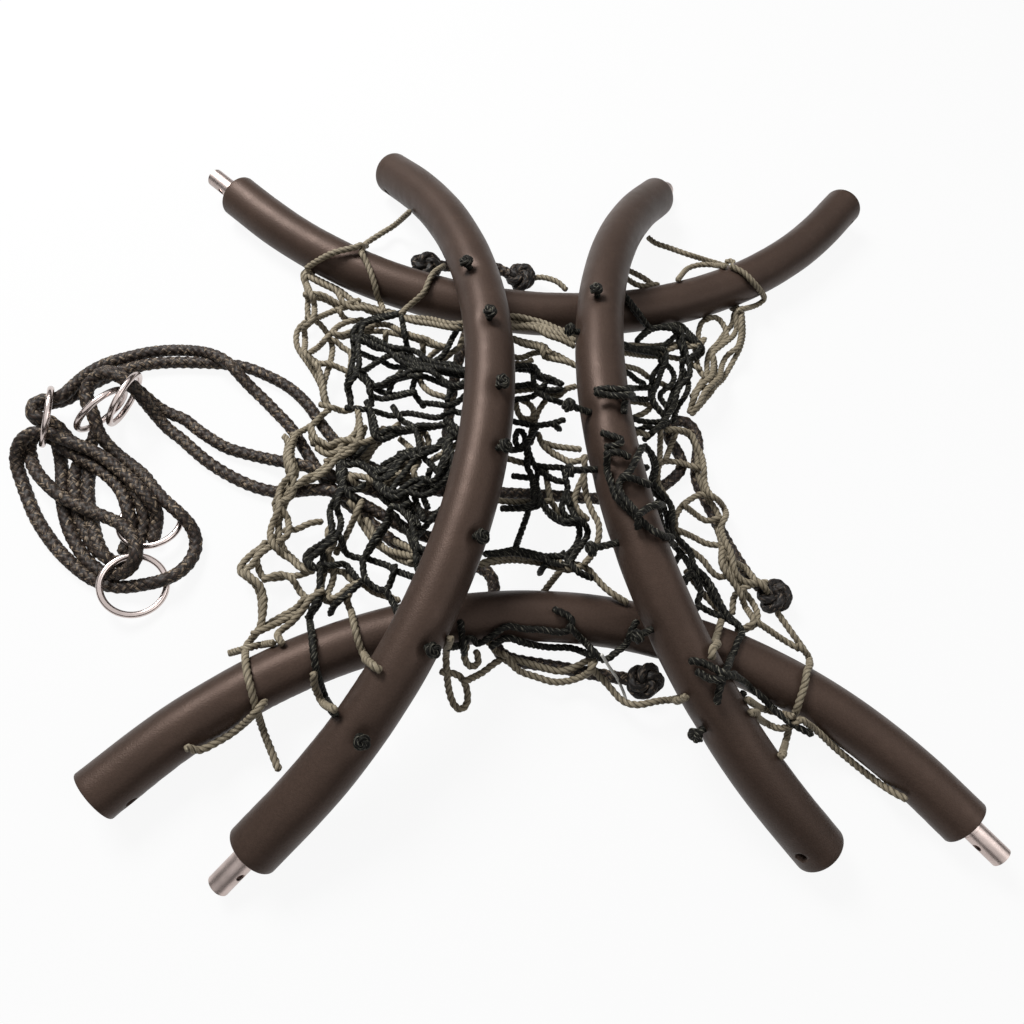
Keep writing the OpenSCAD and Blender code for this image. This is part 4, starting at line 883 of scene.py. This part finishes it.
class Shader:
    """Short names for the few kinds of node that the materials use."""

    def __init__(self, name, roughness, metallic=0.0, specular=0.5):
        self.material = bpy.data.materials.new(name)
        self.material.use_nodes = True
        self.tree = self.material.node_tree
        self.bsdf = self.tree.nodes["Principled BSDF"]
        self.bsdf.inputs["Roughness"].default_value = roughness
        self.bsdf.inputs["Metallic"].default_value = metallic
        self.bsdf.inputs["Specular IOR Level"].default_value = specular

    def node(self, kind, **inputs):
        node = self.tree.nodes.new("ShaderNode" + kind)
        for key, value in inputs.items():
            if hasattr(node, key):
                setattr(node, key, value)
            else:
                self.put(value, node.inputs[key.replace("_", " ")])
        return node

    def put(self, value, socket):
        if isinstance(value, bpy.types.NodeSocket):
            self.tree.links.new(value, socket)
        else:
            socket.default_value = value

    def math(self, operation, a, b=0.0, c=0.0):
        node = self.tree.nodes.new("ShaderNodeMath")
        node.operation = operation
        for socket, value in zip(node.inputs, (a, b, c)):
            self.put(value, socket)
        return node.outputs[0]

    def times(self, a, b):
        return self.math("MULTIPLY", a, b)

    def mix(self, factor, a, b):
        node = self.tree.nodes.new("ShaderNodeMix")
        node.data_type = "RGBA"
        self.put(factor, node.inputs["Factor"])
        self.put(a, node.inputs["A"])
        self.put(b, node.inputs["B"])
        return node.outputs["Result"]

    def place(self):
        return self.node("TexCoord").outputs["Object"]

    def uv(self):
        split = self.node("SeparateXYZ", Vector=self.node("TexCoord").outputs["UV"])
        return split.outputs["X"], split.outputs["Y"]

    def noise(self, vector, scale, detail=2.0, roughness=0.5):
        return self.node("TexNoise", Vector=vector, Scale=scale, Detail=detail,
                         Roughness=roughness).outputs["Fac"]

    def vector(self, x, y, z=0.0):
        return self.node("CombineXYZ", X=x, Y=y, Z=z).outputs[0]

    def between(self, value, low, high, to_low=0.0, to_high=1.0):
        return self.node("MapRange", Value=value, From_Min=low, From_Max=high,
                         To_Min=to_low, To_Max=to_high).outputs["Result"]

    def bump(self, height, distance, strength=1.0):
        node = self.node("Bump", Height=height, Distance=distance, Strength=strength)
        self.tree.links.new(node.outputs[0], self.bsdf.inputs["Normal"])

    def colour(self, value):
        self.put(value, self.bsdf.inputs["Base Color"])

    def rough(self, value):
        self.put(value, self.bsdf.inputs["Roughness"])


def cord_material(name, painted_groove_shade, crown, painted_glint, roughness, shine):
    """Laid cord: painted shade between the strands, fine fibres, and painted glints along each.
    """
    m = Shader(name, roughness, specular=shine)
    u, v = m.uv()
    phase = m.times(m.math("SUBTRACT", u, m.math("DIVIDE", v, LAY_PITCH * MM)), 3.0)
    wave = m.math("ABSOLUTE", m.math("COSINE", m.times(phase, math.pi)))
    fibres = m.noise(m.vector(m.times(phase, 9.0), m.times(v, 260.0)), 1.6, 3.0, 0.6)
    # Towards the grooves the colour goes to the groove colour, which is painted shade between the
    # strands; the fibres vary the cord's own tone.
    groove_shade_and_fibre_tone = m.times(m.between(wave, 0.1, 0.75), m.between(fibres, 0.25, 0.75, 0.55, 1.0))
    # Painted glints: pale streaks of the glint colour along the strands' crowns.
    painted_glint_noise = m.noise(m.vector(m.times(phase, 3.5), m.times(v, 110.0)), 1.6)
    painted_glint_mask = m.times(m.between(painted_glint_noise, 0.54, 0.66), groove_shade_and_fibre_tone)
    m.colour(m.mix(painted_glint_mask, m.mix(groove_shade_and_fibre_tone, painted_groove_shade, crown), painted_glint))
    m.rough(m.between(fibres, 0.3, 0.7, roughness - 0.1, roughness + 0.12))
    m.bump(fibres, 0.0004, 0.8)
    return m.material


def rope_material(name, dark, brown, fleck):
    """Braided rope: bands darker at their edges as painted shade, with pale flecks in a random
    amount on each band end.
    """
    m = Shader(name, 0.55, specular=0.25)
    u, v = m.uv()
    around = m.times(u, float(BRAID_BANDS))
    length = m.math("DIVIDE", v, BRAID_PITCH * MM)
    a, b = m.math("ADD", around, length), m.math("SUBTRACT", around, length)
    a_cell, b_cell = m.math("FLOOR", a), m.math("FLOOR", b)
    shade = m.node("TexWhiteNoise", Vector=m.vector(a_cell, b_cell)).outputs["Value"]
    odd = m.math("FRACT", m.times(m.math("ADD", a_cell, b_cell), 0.5))
    is_a = m.math("GREATER_THAN", odd, 0.25)
    is_b = m.math("SUBTRACT", 1.0, is_a)
    across = m.math("ADD", m.times(m.math("FRACT", a), is_a), m.times(m.math("FRACT", b), is_b))
    hump = m.math("SINE", m.times(across, math.pi))
    yarn = m.noise(m.vector(m.times(across, 2.5), m.times(v, 150.0), shade), 1.5, 2.0)
    # Darker towards each band's edges: painted shade between the bands; the yarn noise varies the
    # rope's own tone.
    groove_shade_and_fibre_tone = m.times(m.between(hump, 0.15, 0.9), m.between(yarn, 0.3, 0.7, 0.35, 1.0))
    pale = m.times(m.between(shade, 0.2, 0.7), m.times(m.between(yarn, 0.48, 0.62), groove_shade_and_fibre_tone))
    m.colour(m.mix(pale, m.mix(groove_shade_and_fibre_tone, dark, brown), fleck))
    m.bump(yarn, 0.0003, 0.7)
    return m.material


def foam_material():
    """Dark brown closed-cell foam with a satin skin and faint scuffs."""
    m = Shader("foam", 0.45, specular=0.3)
    m.bsdf.inputs["Specular Tint"].default_value = linear(255, 222, 206)
    place = m.place()
    cells = m.node("TexVoronoi", Vector=place, Scale=900.0).outputs["Distance"]
    fine = m.noise(place, 520.0, 3.0, 0.6)
    cloud = m.noise(place, 14.0, 3.0, 0.55)
    scuff = m.noise(place, 65.0, 4.0, 0.7)
    base = m.mix(m.between(cloud, 0.3, 0.7), linear(54, 43, 37), linear(65, 52, 45))
    worn = m.mix(m.between(scuff, 0.55, 0.78, 0.0, 0.4), base, linear(84, 68, 60))
    speck = m.mix(m.between(fine, 0.35, 0.65, 0.0, 0.35), worn, linear(36, 28, 24))
    m.colour(speck)
    m.rough(m.between(scuff, 0.3, 0.75, 0.48, 0.38))
    m.bump(m.math("ADD", m.times(cells, 0.6), fine), 0.00035, 0.4)
    return m.material


def steel_material(name, colour, roughness, streaks):
    """Plated steel with fine drawing lines and faint clouding."""
    m = Shader(name, roughness, metallic=1.0)
    place = m.place()
    cloud = m.noise(place, 60.0, 3.0)
    line = m.noise(place, 900.0, 2.0)
    tint = tuple(c * 0.72 for c in colour[:3]) + (1.0,)
    m.colour(m.mix(m.between(cloud, 0.35, 0.7), colour, tint))
    m.rough(m.between(line, 0.3, 0.7, roughness - 0.05, roughness + streaks))
    m.bump(line, 0.00004, 0.15)
    return m.material


def strap_material():
    """White plastic strap with a faint grain."""
    m = Shader("white_strap", 0.5)
    grain = m.noise(m.place(), 700.0, 3.0)
    m.colour(m.mix(m.between(grain, 0.35, 0.7), linear(214, 212, 204), linear(240, 239, 234)))
    m.bump(grain, 0.0002, 0.5)
    return m.material


MATERIALS = {
    "bright_steel": steel_material("bright_steel", linear(214, 200, 195), 0.2, 0.08),
    "plug_steel": steel_material("plug_steel", linear(206, 190, 184), 0.36, 0.08),
    "tube_steel": steel_material("tube_steel", linear(196, 181, 175), 0.3, 0.15),
    "foam": foam_material(),
    # Cord colours: groove, crown, glint; the groove colour is painted shade between the strands
    # and the glint colour a painted highlight.
    "olive": cord_material("olive", linear(70, 62, 48), linear(142, 131, 111),
                           linear(182, 172, 150), 0.65, 0.3),
    "black": cord_material("black", linear(4, 4, 3), linear(22, 21, 18),
                           linear(132, 129, 116), 0.6, 0.12),
    # Rope colours: band edge, crown, fleck; the band edge colour is painted shade between the
    # bands.
    "rope": rope_material("rope", linear(12, 9, 8), linear(58, 46, 39), linear(142, 126, 106)),
    # The same rope again in darker colours for the knots: painted shade of the tight knots.
    "knot_rope_painted_shade": rope_material("knot_rope_painted_shade", linear(6, 5, 5), linear(34, 28, 25),
                               linear(100, 88, 76)),
    "white": strap_material(),
}


def finish(obj, material, slot, *nodes, body="root"):
    """Gives a new piece its material and body and hides the nodes it stands for; its slot is not
    used.
    """
    obj.data.materials.append(MATERIALS[material])
    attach(obj, body)
    if nodes:
        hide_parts(*nodes)
    return obj


# ---- Hanging ropes and their knots -------------------------------------------------
ROUTES = {1: ROUTE_1, 2: ROUTE_2, 3: ROUTE_3, 4: ROUTE_4}
# Knots at the far ends: middle, then roll and heading in degrees
KNOTS = {
    1: ((126, -208), (20, 20)),
    2: ((253, -128), (-25, 60)),
    3: ((-84, 224), (15, 0)),
    4: ((17, 219), (-15, 90)),
}
KNOT_REACH = 8.2
KNOT_GIRTH = 5.4
KNOT_ROPE_R = 4.4
KNOT_TURNS = 3
KNOT_WINDS = 4
KNOT_FLATNESS = 0.85
KNOT_LIFT = 12.0
# The drawn rope is a little thicker than the CAD one, so it lies higher
ROPE_LIFT = 1.0
ROPE_SOFTENING = 40


def placed_route(route):
    p = np.array([(*point, ROPE_R)[:3] for point in route], float)
    return slide(p, LEVEL_ROPE, np.maximum(p[:, 2], ROPE_R) + ROPE_LIFT)


def tight_knot(reach, girth, step, seed):
    """A closed, fist-like knot, whose turns wind round each other."""
    t = np.linspace(0, 2 * np.pi, 400)
    turn, wind = KNOT_TURNS * t, KNOT_WINDS * t + seed
    out = reach + girth * np.cos(wind)
    line = np.column_stack([out * np.cos(turn), KNOT_FLATNESS * out * np.sin(turn),
                            girth * np.sin(wind)])
    return evenly(line, step)


def add_knot(number):
    (x, y), (roll, heading) = KNOTS[number]
    middle = slide(np.array([[x, y, 0.0]]), LEVEL_ROPE, np.array([KNOT_LIFT]))[0]
    line = tight_knot(KNOT_REACH, KNOT_GIRTH, ROPE_STEP, number)
    skin = Skin()
    skin.tube(middle + line @ rotation((roll, 0, heading)).T, ROPE_SIDES,
              braided_radius(KNOT_ROPE_R))
    # The knot's rope colours are darker, as painted shade of the tight knot.
    return finish(skin.build(f"rope_knot_{number}_braid"), "knot_rope_painted_shade", "dark_rope",
                  f"rope_knot_{number}")


def add_rope(number):
    line = smooth_curve(placed_route(ROUTES[number]), ROPE_STEP)
    line = evenly(softened(line, ROPE_SOFTENING), ROPE_STEP)
    skin = Skin()
    skin.tube(line, ROPE_SIDES, braided_radius(BRAID_R))
    rope = finish(skin.build(f"rope_{number}_braid"), "rope", "dark_rope", f"rope_{number}")
    knot = add_knot(number)
    pile.add(line, ROPE_R)


# ---- The net -----------------------------------------------------------------------
NET = {
    "net_left_upper": ("olive", LEVEL_SIDE, OLIVE_LEFT_UPPER + on_plan(OLIVE_LEFT_UPPER_PX),
                       OLIVE_LEFT_UPPER_OVER),
    "net_black_left_upper": ("black", LEVEL_SIDE, BLACK_LEFT_UPPER, []),
    "net_left_lower": ("olive", LEVEL_SIDE, OLIVE_LEFT_LOWER + on_plan(OLIVE_LEFT_LOWER_PX),
                       OLIVE_LEFT_LOWER_OVER),
    "net_black_left_lower": ("black", LEVEL_SIDE, BLACK_LEFT_LOWER + on_plan(BLACK_LEFT_LOWER_PX),
                             BLACK_LEFT_LOWER_OVER),
    "net_middle": ("olive", LEVEL_MIDDLE, OLIVE_MIDDLE, []),
    "net_black_middle": ("black", LEVEL_MIDDLE, BLACK_MIDDLE, []),
    "net_right_upper": ("olive", LEVEL_SIDE, OLIVE_RIGHT_UPPER, OLIVE_RIGHT_UPPER_OVER),
    "net_black_right_upper": ("black", LEVEL_SIDE, BLACK_RIGHT_UPPER, BLACK_RIGHT_UPPER_OVER),
    "net_right_lower": ("olive", LEVEL_SIDE, OLIVE_RIGHT_LOWER, OLIVE_RIGHT_LOWER_OVER),
    "net_black_right_lower": ("black", LEVEL_SIDE, BLACK_RIGHT_LOWER, BLACK_RIGHT_LOWER_OVER),
    "net_front": ("olive", LEVEL_SIDE, [], OLIVE_FRONT_OVER),
    "net_black_front": ("black", LEVEL_SIDE, [], BLACK_FRONT_OVER),
}

# Cords that run beside another one in a bunch: its number, and on which
# sides of it they run
BUNCH_GAP = 6
BUNCHES = {
    "net_left_upper": {0: (1,), 2: (-1,), 4: (1,), 8: (1, -1)},
    "net_black_left_upper": {0: (1,), 2: (1, -1), 3: (-1,), 4: (1,)},
    "net_left_lower": {0: (1,), 1: (-1,), 5: (1,), 6: (-1,), 10: (1,)},
    "net_black_left_lower": {0: (1,), 2: (-1,), 3: (1,), 4: (1, -1), 6: (1,)},
    "net_middle": {0: (1,), 1: (-1,), 9: (1,)},
    "net_black_middle": {0: (1,), 6: (-1,), 8: (1,)},
    "net_right_upper": {1: (1,), 2: (-1,), 6: (1,)},
    "net_black_right_upper": {0: (1,), 2: (1,), 1: (-1,)},
    "net_right_lower": {0: (1,), 8: (-1,)},
    "net_black_right_lower": {0: (1,), 2: (-1,)},
}


def beside(points, distance):
    """The same way again, a little to one side and wandering."""
    p = np.array(points, float)
    along = unit(np.gradient(p, axis=0))
    share = np.linspace(0, 1, len(p))
    ends = np.minimum(1, 2.5 * np.minimum(share, share[::-1]))
    sway = ends * (1 + 0.5 * np.sin(np.arange(len(p)) * 1.7 + distance))
    return p + np.column_stack([-along[:, 1], along[:, 0]]) * (distance * sway)[:, None]


def add_net():
    for node, (colour, level, lying, over) in NET.items():
        skin = Skin()
        for number, sides in BUNCHES.get(node, {}).items():
            lying = lying + [beside(lying[number], side * BUNCH_GAP) for side in sides]
        for points, is_over in [(p, False) for p in lying] + [(p, True) for p in over]:
            skin.tube(lay_strand(points, level, is_over), NET_SIDES, laid_radius)
        finish(skin.build(node + "_cords"), colour, f"{colour}_cord", node)


# ---- Lacing ------------------------------------------------------------------------
STOPPER_REACH = 2.9
STOPPER_GIRTH = 2.1
STOPPER_STEP = 0.9
STOPPER_CORD_R = 2.2


def add_lacing(name):
    tube = TUBES[name]
    skin = Skin()
    for u, angle, reach in LACES[name]:
        knot = tube.at(u, angle, reach)
        inner = tube.at(u, angle, -LACE_IN)
        axis = unit(knot - inner)
        skin.tube(evenly(np.array([inner, (inner + knot) / 2, knot]), CORD_STEP), NET_SIDES,
                  laid_radius)
        _, _, along = tube.frame(u)
        stand = np.stack([along, np.cross(axis, along), axis])
        spin = rotation((0, 0, u % 90))
        fist = tight_knot(STOPPER_REACH, STOPPER_GIRTH, STOPPER_STEP, u)
        line = knot + fist @ spin.T @ stand
        skin.tube(line, NET_SIDES, lambda a, s: laid_radius(a, s) * STOPPER_CORD_R / NET_R)
    finish(skin.build(f"lacing_{name}_cords"), "black", "black_cord", f"lacing_{name}")


# ---- White strap -------------------------------------------------------------------
TIE_ROUTE = [(86, -190, 52), (92, -200, 38), (98, -209, 18), (103, -220, 4), (106, -231, 2)]
TIE_R = 1.5
TIE_STEP = 1.5
TIE_SIDES = 10
TIE_FLATNESS = 0.35


def add_tie():
    p = np.array(TIE_ROUTE, float)
    line = smooth_curve(slide(p, LEVEL_SIDE, p[:, 2]), TIE_STEP)
    skin = Skin()
    skin.tube(line, TIE_SIDES, lambda a, s: TIE_R * (1 - TIE_FLATNESS * np.sin(a) ** 2 + 0 * s))
    finish(skin.build("white_tie_strap"), "white", "white_plastic", "white_tie")


# ---- Foam sleeves --------------------------------------------------------------------
FOAM_SIDES = 64
FOAM_STEP = 3.0
FOAM_EDGE = 1.0
BORE_RINGS = 60
SWELL = 0.35
SWELL_LENGTH = 40.0
CREASE_DEPTH = 0.55
CREASE_LENGTH = 7.0
CREASE_ANGLE = 55.0
CREASE_FROM = 0.15
DENT_REACH = 9.0
DENT_DEPTH = 2.6
HOLE_SIDES = 32
HOLE_OVER = 6.0


def foam_radius(tube, name, u, angle):
    """Outer radius at one place: waves, creases on the inner bend, lacing dents."""
    point = Vector(tube.at(u, angle, FOAM_R) / SWELL_LENGTH)
    radius = FOAM_R + SWELL * noise.noise(point)
    inner = max(0.0, -math.cos(math.radians(angle)))
    crease = noise.noise(Vector((u / CREASE_LENGTH, angle / CREASE_ANGLE, len(name))))
    radius -= CREASE_DEPTH * inner ** 2 * max(0.0, abs(crease) - CREASE_FROM)
    for at, round_, _ in LACES.get(name, []):
        swing = (angle - round_ + 180) % 360 - 180
        gap = math.hypot(u - at, math.radians(swing) * FOAM_R)
        radius -= DENT_DEPTH * math.exp(-(gap / DENT_REACH) ** 2)
    return radius


def add_foam(name):
    """The skin from end to end outside, and back through the bore."""
    tube = TUBES[name]
    inset = [(0.0, FOAM_EDGE), (0.2, FOAM_EDGE * 0.45), (0.6, FOAM_EDGE * 0.12), (FOAM_EDGE, 0.0)]
    stations = [(-HALF + a, b) for a, b in inset]
    stations += [(u, 0.0) for u in np.arange(-HALF + 6, HALF - 5, FOAM_STEP)]
    stations += [(HALF - a, b) for a, b in reversed(inset)]
    angles = np.linspace(0, 360, FOAM_SIDES, endpoint=False)
    points, faces = [], []
    for u, drop in stations:
        centre, out, _ = tube.frame(u)
        up = tube.up()
        for angle in angles:
            r = foam_radius(tube, name, u, angle) - drop
            a = math.radians(angle)
            points.append(centre + r * (math.cos(a) * out + math.sin(a) * up))
    bore = np.linspace(HALF, -HALF, BORE_RINGS)
    for u in bore:
        centre, out, _ = tube.frame(u)
        a = np.radians(angles)[:, None]
        points.extend(centre + FOAM_IN_R * (np.cos(a) * out + np.sin(a) * tube.up()))
    rows = len(stations) + len(bore)
    for i in range(rows):
        j = (i + 1) % rows
        for k in range(FOAM_SIDES):
            n = (k + 1) % FOAM_SIDES
            faces.append([i * FOAM_SIDES + n, i * FOAM_SIDES + k, j * FOAM_SIDES + k,
                          j * FOAM_SIDES + n])
    foam = new_object(f"foam_{name}_skin", points, faces)
    cut_cross_hole(foam, tube)
    finish(foam, "foam", "dark_foam", f"foam_sleeve_{name}")


def cut_cross_hole(foam, tube):
    """The hole through both sides of the foam, in line with the tube's cross hole."""
    centre, out, along = tube.frame(HALF - CROSS_AT)
    up = tube.up()
    a = np.linspace(0, 2 * np.pi, HOLE_SIDES, endpoint=False)[:, None]
    rim = centre + FOAM_HOLE_R * (np.cos(a) * up + np.sin(a) * along)
    reach = out * (FOAM_R + HOLE_OVER)
    n = HOLE_SIDES
    walls = [[k, n + k, n + (k + 1) % n, (k + 1) % n] for k in range(n)]
    caps = [list(range(n)), list(range(2 * n - 1, n - 1, -1))]
    cutter = new_object("cutter", np.vstack([rim - reach, rim + reach]), walls + caps)
    cut = foam.modifiers.new("hole", "BOOLEAN")
    cut.object = cutter
    cut.solver = "EXACT"
    graph = bpy.context.evaluated_depsgraph_get()
    mesh = bpy.data.meshes.new_from_object(foam.evaluated_get(graph))
    foam.modifiers.clear()
    foam.data = mesh
    bpy.data.objects.remove(cutter)


# ---- Steel ---------------------------------------------------------------------------
STEEL = {"steel_tube": "tube_steel", "spigot": "plug_steel", "ring": "bright_steel"}


def dress_steel():
    """The steel parts keep their CAD meshes and get a plated finish."""
    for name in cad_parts:
        kind = STEEL.get(name.rsplit("_", 1)[0])
        if kind:
            obj = bpy.data.objects[name]
            obj.data.materials.clear()
            obj.data.materials.append(MATERIALS[kind])


# ---- Stage ---------------------------------------------------------------------------
FLOOR_SIZE = 4000.0
FLOOR_GREY = (0.6, 0.6, 0.6, 1)
FLOOR_WHITE = 0.92
AMBIENT = 0.22
FLAG_R = 2600.0
FLAG_LOW = 60.0
FLAG_HIGH = 1500.0
FLAG_SIDES = 48


def background_mix(tree, shaded, strength):
    """White wherever the camera or a glossy or clear surface looks at it."""
    path = tree.nodes.new("ShaderNodeLightPath")
    glow = tree.nodes.new("ShaderNodeEmission")
    glow.inputs["Strength"].default_value = 1.0
    seen = path.outputs["Is Camera Ray"]
    for more in ("Is Glossy Ray", "Is Transmission Ray"):
        add = tree.nodes.new("ShaderNodeMath")
        add.operation = "MAXIMUM"
        tree.links.new(seen, add.inputs[0])
        tree.links.new(path.outputs[more], add.inputs[1])
        seen = add.outputs[0]
    scale = tree.nodes.new("ShaderNodeMath")
    scale.operation = "MULTIPLY"
    scale.inputs[1].default_value = strength
    tree.links.new(seen, scale.inputs[0])
    mix = tree.nodes.new("ShaderNodeMixShader")
    tree.links.new(scale.outputs[0], mix.inputs["Fac"])
    tree.links.new(shaded, mix.inputs[1])
    tree.links.new(glow.outputs[0], mix.inputs[2])
    return mix.outputs[0]


def add_stage():
    size = FLOOR_SIZE
    corners = [(-size, -size, 0), (size, -size, 0), (size, size, 0), (-size, size, 0)]
    floor = new_object("floor", corners, [[0, 1, 2, 3]])
    material = bpy.data.materials.new("white_floor")
    material.use_nodes = True
    tree = material.node_tree
    bsdf = tree.nodes["Principled BSDF"]
    bsdf.inputs["Base Color"].default_value = FLOOR_GREY
    bsdf.inputs["Roughness"].default_value = 0.9
    bsdf.inputs["Specular IOR Level"].default_value = 0.0
    out = tree.nodes["Material Output"]
    shaded = background_mix(tree, bsdf.outputs[0], FLOOR_WHITE)
    tree.links.new(shaded, out.inputs["Surface"])
    floor.data.materials.append(material)

    world = bpy.data.worlds.new("studio")
    world.use_nodes = True
    tree = world.node_tree
    ambient = tree.nodes["Background"]
    ambient.inputs["Color"].default_value = (1, 1, 1, 1)
    ambient.inputs["Strength"].default_value = AMBIENT
    out = tree.nodes["World Output"]
    tree.links.new(background_mix(tree, ambient.outputs[0], 1.0), out.inputs["Surface"])
    bpy.context.scene.world = world


def add_flag():
    """A dark band round the set, which only shows in glossy surfaces."""
    n = FLAG_SIDES
    a = np.linspace(0, 2 * np.pi, n, endpoint=False)
    rim = np.column_stack([FLAG_R * np.cos(a), FLAG_R * np.sin(a), 0 * a])
    points = np.vstack([rim + [0, 0, FLAG_LOW], rim + [0, 0, FLAG_HIGH]])
    flag = new_object("low_flag", points,
                      [[k, (k + 1) % n, n + (k + 1) % n, n + k] for k in range(n)])
    material = bpy.data.materials.new("low_flag")
    material.use_nodes = True
    bsdf = material.node_tree.nodes["Principled BSDF"]
    bsdf.inputs["Base Color"].default_value = linear(42, 34, 30)
    bsdf.inputs["Roughness"].default_value = 1.0
    flag.data.materials.append(material)
    for ray in ("camera", "diffuse", "shadow", "transmission"):
        setattr(flag, f"visible_{ray}", False)


def add_lamp(name, place, size, watts):
    """A square lamp at a place in metres, which looks at the middle of the floor."""
    data = bpy.data.lights.new(name, "AREA")
    data.size = size
    data.energy = watts
    lamp = bpy.data.objects.new(name, data)
    lamp.location = place
    lamp.rotation_euler = (-Vector(place)).to_track_quat("-Z", "Y").to_euler()
    bpy.context.scene.collection.objects.link(lamp)


# ---- Scene ---------------------------------------------------------------------------
bpy.context.scene.view_settings.view_transform = "Standard"
add_camera()
for number in ROUTES:
    add_rope(number)
add_net()
for name in LACES:
    add_lacing(name)
add_tie()
for name in TUBES:
    add_foam(name)
dress_steel()
add_stage()
add_flag()
add_lamp("key", (-1.0, 1.1, 1.6), size=0.8, watts=62)
add_lamp("fill", (1.3, -0.5, 1.3), size=1.2, watts=6)
